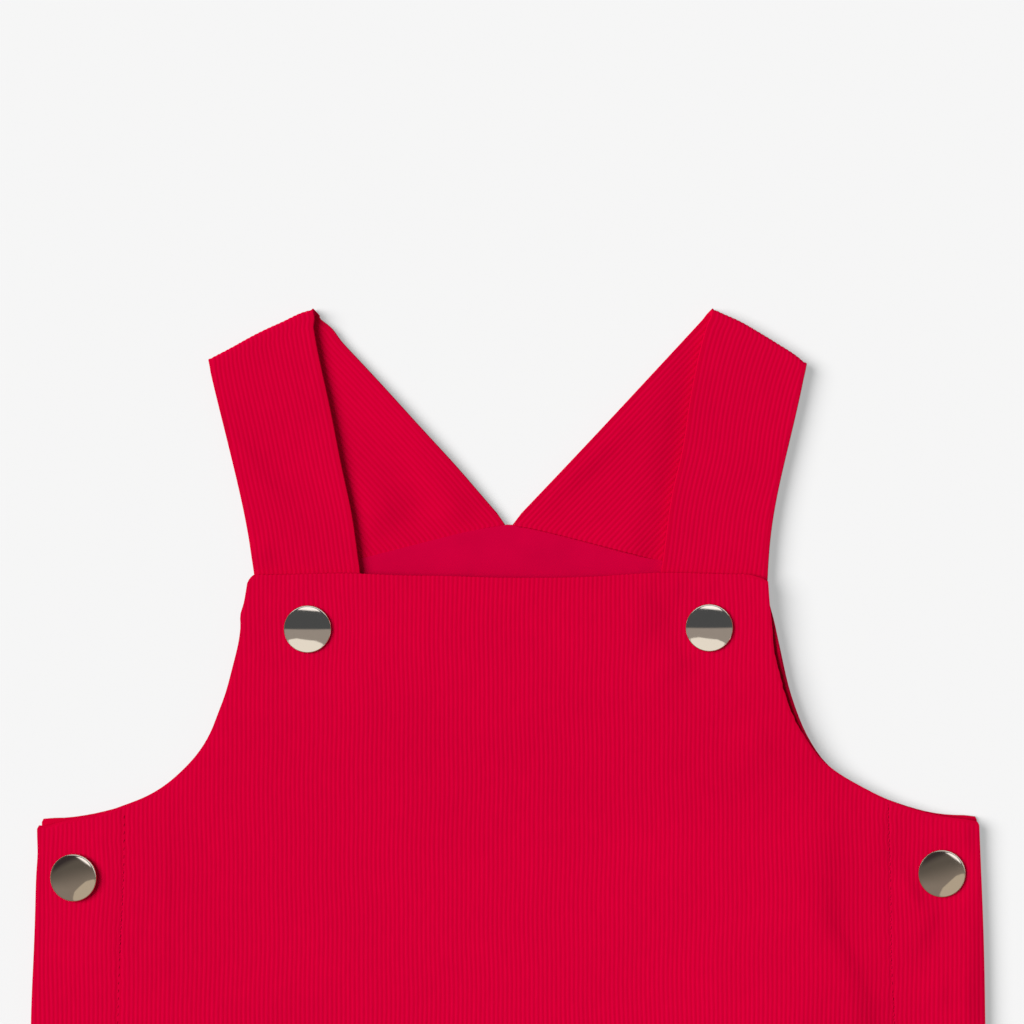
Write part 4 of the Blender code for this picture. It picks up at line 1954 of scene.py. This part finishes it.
@dataclass(frozen=True)
class ReflectorCard:
    """A round studio card that only polished metal mirrors, hung over one snap cap."""

    cap: SnapCap
    base: str
    bands: Sequence[Band]
    height: float = 60.0  # over the cap
    radius: float = 52.0
    sides: int = 48

    def material(self) -> Material:
        """Make the card's glow, band over band.

        Returns:
            The material.
        """
        nodes = Nodes(bpy.data.materials.new(f"card_{self.cap.node}"))
        place = nodes.add("TexCoord", "Object", {})
        colour: Socket | tuple[float, ...] = linear(self.base)
        for band in self.bands:
            turn = math.radians(band.toward)
            east, north = math.cos(turn) / MM, math.sin(turn) / MM
            reach, aside = (
                nodes.add("VectorMath", "Value", {0: place, 1: way}, operation="DOT_PRODUCT")
                for way in ((east, north, 0.0), (-north, east, 0.0))
            )
            square = nodes.add("Math", 0, {0: aside, 1: aside}, operation="MULTIPLY")
            bowed = nodes.add("Math", 0, {0: square, 1: -band.bow, 2: reach}, operation="MULTIPLY_ADD")
            ends = {"Value": bowed, "From Min": band.start, "From Max": band.start + band.soft}
            edge = nodes.add("MapRange", "Result", ends, interpolation_type="SMOOTHSTEP")
            tint = tuple(part * band.strength for part in linear(band.colour)[:3]) + (1.0,)
            colour = nodes.add("Mix", 2, {0: edge, 6: colour, 7: tint}, data_type="RGBA")
        glow = nodes.add("Emission", 0, {"Color": colour, "Strength": 1.0})
        nodes.add("OutputMaterial", None, {"Surface": glow})
        return nodes.owner

    def hang(self, camera: Vector) -> None:
        """Hang the card where the camera sees it mirrored in its cap.

        Args:
            camera: where the camera is, in metres.
        """
        low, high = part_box(self.cap.node)
        middle = Vector(((low.x + high.x) / 2, (low.y + high.y) / 2, high.z))
        face = Vector((-math.sin(math.radians(self.cap.lean)), 0.0, 1.0)).normalized()
        sight = (middle - camera).normalized()
        mirrored = sight - 2 * sight.dot(face) * face
        turns = turns_round(self.sides)
        rim = xyz(self.radius * np.cos(turns), self.radius * np.sin(turns), 0.0)
        card = add_piece(f"card_{self.cap.node}", rim, [tuple(range(len(rim)))], self.material())
        card.location = middle + mirrored * (self.height * MM / mirrored.z)
        for ray in ("camera", "diffuse", "transmission", "volume_scatter", "shadow"):
            setattr(card, f"visible_{ray}", False)
        card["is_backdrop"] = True


BIB_BANDS = (
    Band(270.0, -1.0, 2.5, "#A09C9E"),
    Band(263.0, 12.0, 2.0, "#F8F9FC", bow=0.010),
    Band(85.0, 25.5, 2.5, "#F2F4FF", strength=1.42),
)
SIDE_BANDS = (
    Band(285.0, -14.0, 30.0, "#8B8481"),
    Band(115.0, 17.0, 12.0, "#393338"),
    Band(312.0, 12.5, 2.0, "#BEB6AC", bow=0.0165),
    Band(56.0, 27.0, 2.5, "#F2F4FF", strength=1.4),
)


@dataclass
class Studio:
    """A pale board, a soft key from the viewer's left, a weak fill, and a camera above.

    Attributes:
        key_bearing: where the key comes from, in degrees from +X, anticlockwise.
    """

    caps: Sequence[SnapCap]
    camera_x: float = 1.4
    camera_below_folds: float = 64.6
    garment_level: float = 4.0
    field: float = 324.1  # width of what the camera sees, at the garment's level
    lens: float = 100.0
    sensor: float = 36.0
    clips: Point = (10.0, 20000.0)
    key_elevation: float = 44.0
    key_bearing: float = 165.0
    key_strength: float = 3.73
    board_strength: float = 19.16  # the board's own key: it is dark paint, so red cloth tints it less
    key_softness: float = 42.0
    fill: float = 0.30
    backdrop: str = "#F5F5F5"
    mirrored: str = "#6E6A62"  # what polished metal mirrors beyond its card
    board_half: float = 1500.0
    board_drop: float = 0.1  # keeps it just clear of the dress

    def camera(self) -> Object:
        """Make the camera, which looks straight down.

        Returns:
            The camera.
        """
        data = bpy.data.cameras.new("camera")
        data.lens, data.sensor_width = self.lens, self.sensor
        data.clip_start, data.clip_end = metres(*self.clips)
        camera = add_object("camera", data)
        distance_up = self.garment_level + self.field * self.lens / self.sensor
        x, down, up = metres(self.camera_x, self.camera_below_folds, distance_up)
        camera.location = (x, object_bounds()[1].y - down, up)
        bpy.context.scene.camera = camera
        return camera

    def board(self) -> Object:
        """Make the board that the dress lies on.

        Returns:
            The board.
        """
        half = self.board_half
        x, y = np.array([(-half, -half), (half, -half), (half, half), (-half, half)]).T
        board = add_piece("board", xyz(x, y, -self.board_drop), [(0, 1, 2, 3)], PaintedBoard().build())
        board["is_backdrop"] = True
        return board

    def key(self, name: str, strength: float, board: Object, state: str) -> None:
        """Make a wide, far key light, which polished metal doesn't mirror.

        Args:
            name: its name.
            strength: its strength.
            board: the board.
            state: whether the light reaches the board alone, "INCLUDE", or all else, "EXCLUDE".
        """
        light = bpy.data.lights.new(name, "SUN")
        light.energy = strength
        light.angle = math.radians(self.key_softness)
        lamp = add_object(name, light)
        reached = bpy.data.collections.new(f"{name}_reaches")
        reached.objects.link(board)
        reached.collection_objects[0].light_linking.link_state = state
        lamp.light_linking.receiver_collection = reached
        up, bearing = math.radians(self.key_elevation), math.radians(self.key_bearing)
        toward = Vector((math.cos(up) * math.cos(bearing), math.cos(up) * math.sin(bearing), math.sin(up)))
        lamp.rotation_mode = "QUATERNION"
        lamp.rotation_quaternion = toward.to_track_quat("Z", "Y")
        lamp.location = toward
        lamp.visible_glossy = False

    def surroundings(self) -> None:
        """Make the fill light, the backdrop, and what polished metal mirrors."""
        world = bpy.data.worlds.new("studio")
        bpy.context.scene.world = world
        nodes = Nodes(world)
        shader = nodes.add("Background", 0, {"Color": linear("#FFFFFF"), "Strength": self.fill})
        for ray, colour in (("Is Glossy Ray", self.mirrored), ("Is Camera Ray", self.backdrop)):
            seen = nodes.add("Background", 0, {"Color": linear(colour), "Strength": 1.0})
            shader = nodes.add("MixShader", 0, {0: nodes.add("LightPath", ray, {}), 1: shader, 2: seen})
        nodes.add("OutputWorld", None, {"Surface": shader})

    def build(self) -> None:
        """Set up the whole studio."""
        camera, board = self.camera(), self.board()
        self.key("key", self.key_strength, board, "EXCLUDE")
        self.key("board_key", self.board_strength, board, "INCLUDE")
        self.surroundings()
        for cap in self.caps:
            base, bands = ("#4E535B", BIB_BANDS) if "bib" in cap.node else ("#5F5B59", SIDE_BANDS)
            ReflectorCard(cap, base, bands).hang(camera.location)
        bpy.context.scene.view_settings.view_transform = "Standard"


# ---- The dress ----


class Slot(Enum):
    """The record's material slots."""

    CORDUROY = "corduroy"
    FACING = "facing"
    METAL = "snap_metal"


def mount(piece: Object, slot: Slot, *nodes: str) -> None:
    """Ride a piece on the dress's one body and hide the solids that it stands for.

    Args:
        piece: the piece.
        slot: its material slot; not used.
        nodes: the solids that it stands for, if any.
    """
    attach(piece, "root")
    if nodes:
        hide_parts(*nodes)
    LOG.info("%s: %d faces, for %s", piece.name, len(piece.data.polygons), ", ".join(nodes) or "detail")


def straps(back: BackPanel) -> list[Strap]:
    """Describe both straps as they lie.

    Args:
        back: the back panel that they rise from.

    Returns:
        The left strap and the right one.
    """
    left = Strap(
        Side.LEFT,
        back,
        fold_inner=(-61.2, 250.0),
        fold_outer=(-94.6, 233.6),
        bib_inner=(-46.5, 166.8),
        bib_outer=(-80.2, 165.4),
        end_inner=(-47.2, 133.0),
        end_outer=(-79.8, 133.0),
        bow=1.05,
        base_inner=-0.1,
        notch=0.6,
        slack=-0.15,
        fold_bumps=((0.12, 0.12, 0.5), (0.45, 0.3, 0.12), (0.97, 0.13, 0.45)),
        back_bumps=((0.0, 2.5, 0.35), (6.5, 3.6, -0.7), (67.0, 13.0, -0.29)),
        front_bumps=((0.1, 0.22, -0.9), (0.77, 0.16, 0.7)),
        creases=(
            Crease(-77.0, 200.0, 126.0, 17.0, 2.4, 0.34),
            Crease(-75.2, 172.5, 90.0, 2.8, 2.0, 0.30),
            Crease(-36.7, 184.3, 47.0, 9.0, 4.2, 0.70),
            Crease(-15.6, 184.3, 36.0, 6.0, 2.6, 0.44),
            Crease(-34.0, 208.0, -48.5, 34.0, 8.0, 0.80),
        ),
    )
    right = Strap(
        Side.RIGHT,
        back,
        fold_inner=(64.5, 250.0),
        fold_outer=(94.8, 232.9),
        bib_inner=(48.6, 166.8),
        bib_outer=(82.4, 164.9),
        end_inner=(48.2, 133.0),
        end_outer=(80.5, 133.0),
        bow=1.75,
        base_inner=0.7,
        notch=0.2,
        slack=0.35,
        fold_bumps=((0.0, 0.1, 0.3), (0.25, 0.2, 0.42), (0.83, 0.1, 0.15), (1.0, 0.06, -0.3)),
        back_bumps=(),
        front_bumps=((0.13, 0.14, -1.3), (0.33, 0.15, -1.3), (0.7, 0.2, -1.4)),
        creases=(
            Crease(25.0, 198.5, 41.0, 16.0, 2.8, 0.50),
            Crease(51.0, 205.0, 80.5, 36.0, 4.4, 0.64),
            Crease(43.0, 175.0, 100.0, 8.0, 4.0, 0.40),
            Crease(36.0, 200.0, 52.0, 36.0, 13.0, 0.80),
        ),
    )
    return [left, right]


def main() -> None:
    """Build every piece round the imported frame, then the studio."""
    logging.basicConfig(level=logging.INFO, format="%(name)s: %(message)s")
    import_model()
    corduroy, cotton = CutCorduroy().build(), PlainCotton().build()
    thread, metal = SewingThread().build(), PlatedSteel().build()

    caps = [
        SnapCap("snap_bib_left"),
        SnapCap("snap_bib_right"),
        SnapCap("snap_side_left", lean=6.0),
        SnapCap("snap_side_right"),
    ]
    beds = []
    for cap in caps:
        low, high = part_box(cap.node)
        middle = (low + high) / 2 / MM
        beds.append(SnapBed(middle.x, middle.y, cap.lean / 2))

    back = BackPanel()
    back_piece = back.build(corduroy)
    mount(back_piece, Slot.CORDUROY, "back_panel")
    facing = BackFacing(back=back).build(cotton)
    mount(facing, Slot.FACING, "back_facing")
    for side in Side:
        underlap = Underlap(side=side).build(corduroy)
        mount(underlap, Slot.CORDUROY, f"underlap_{side.word}")
    for strap in straps(back):
        piece = strap.build(corduroy)
        mount(piece, Slot.CORDUROY, f"strap_{strap.side.word}")

    front = FrontPanel(form=FrontForm(beds))
    front_piece = front.build(corduroy)
    mount(front_piece, Slot.CORDUROY, "front_panel")
    # the needle holes' darkness is painted shade: a darker thread laid in them
    seams = SeamWork(front, thread, SewingThread("needle_hole_painted_shade", "#B0002A").build())
    stitched, hem_back = seams.on_front(), seams.on_back()
    for piece in stitched + [hem_back]:
        mount(piece, Slot.CORDUROY)
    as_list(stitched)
    for cap in caps:
        mount(cap.build(metal), Slot.METAL, cap.node)

    Studio(caps).build()


if __name__ == "__main__":
    main()
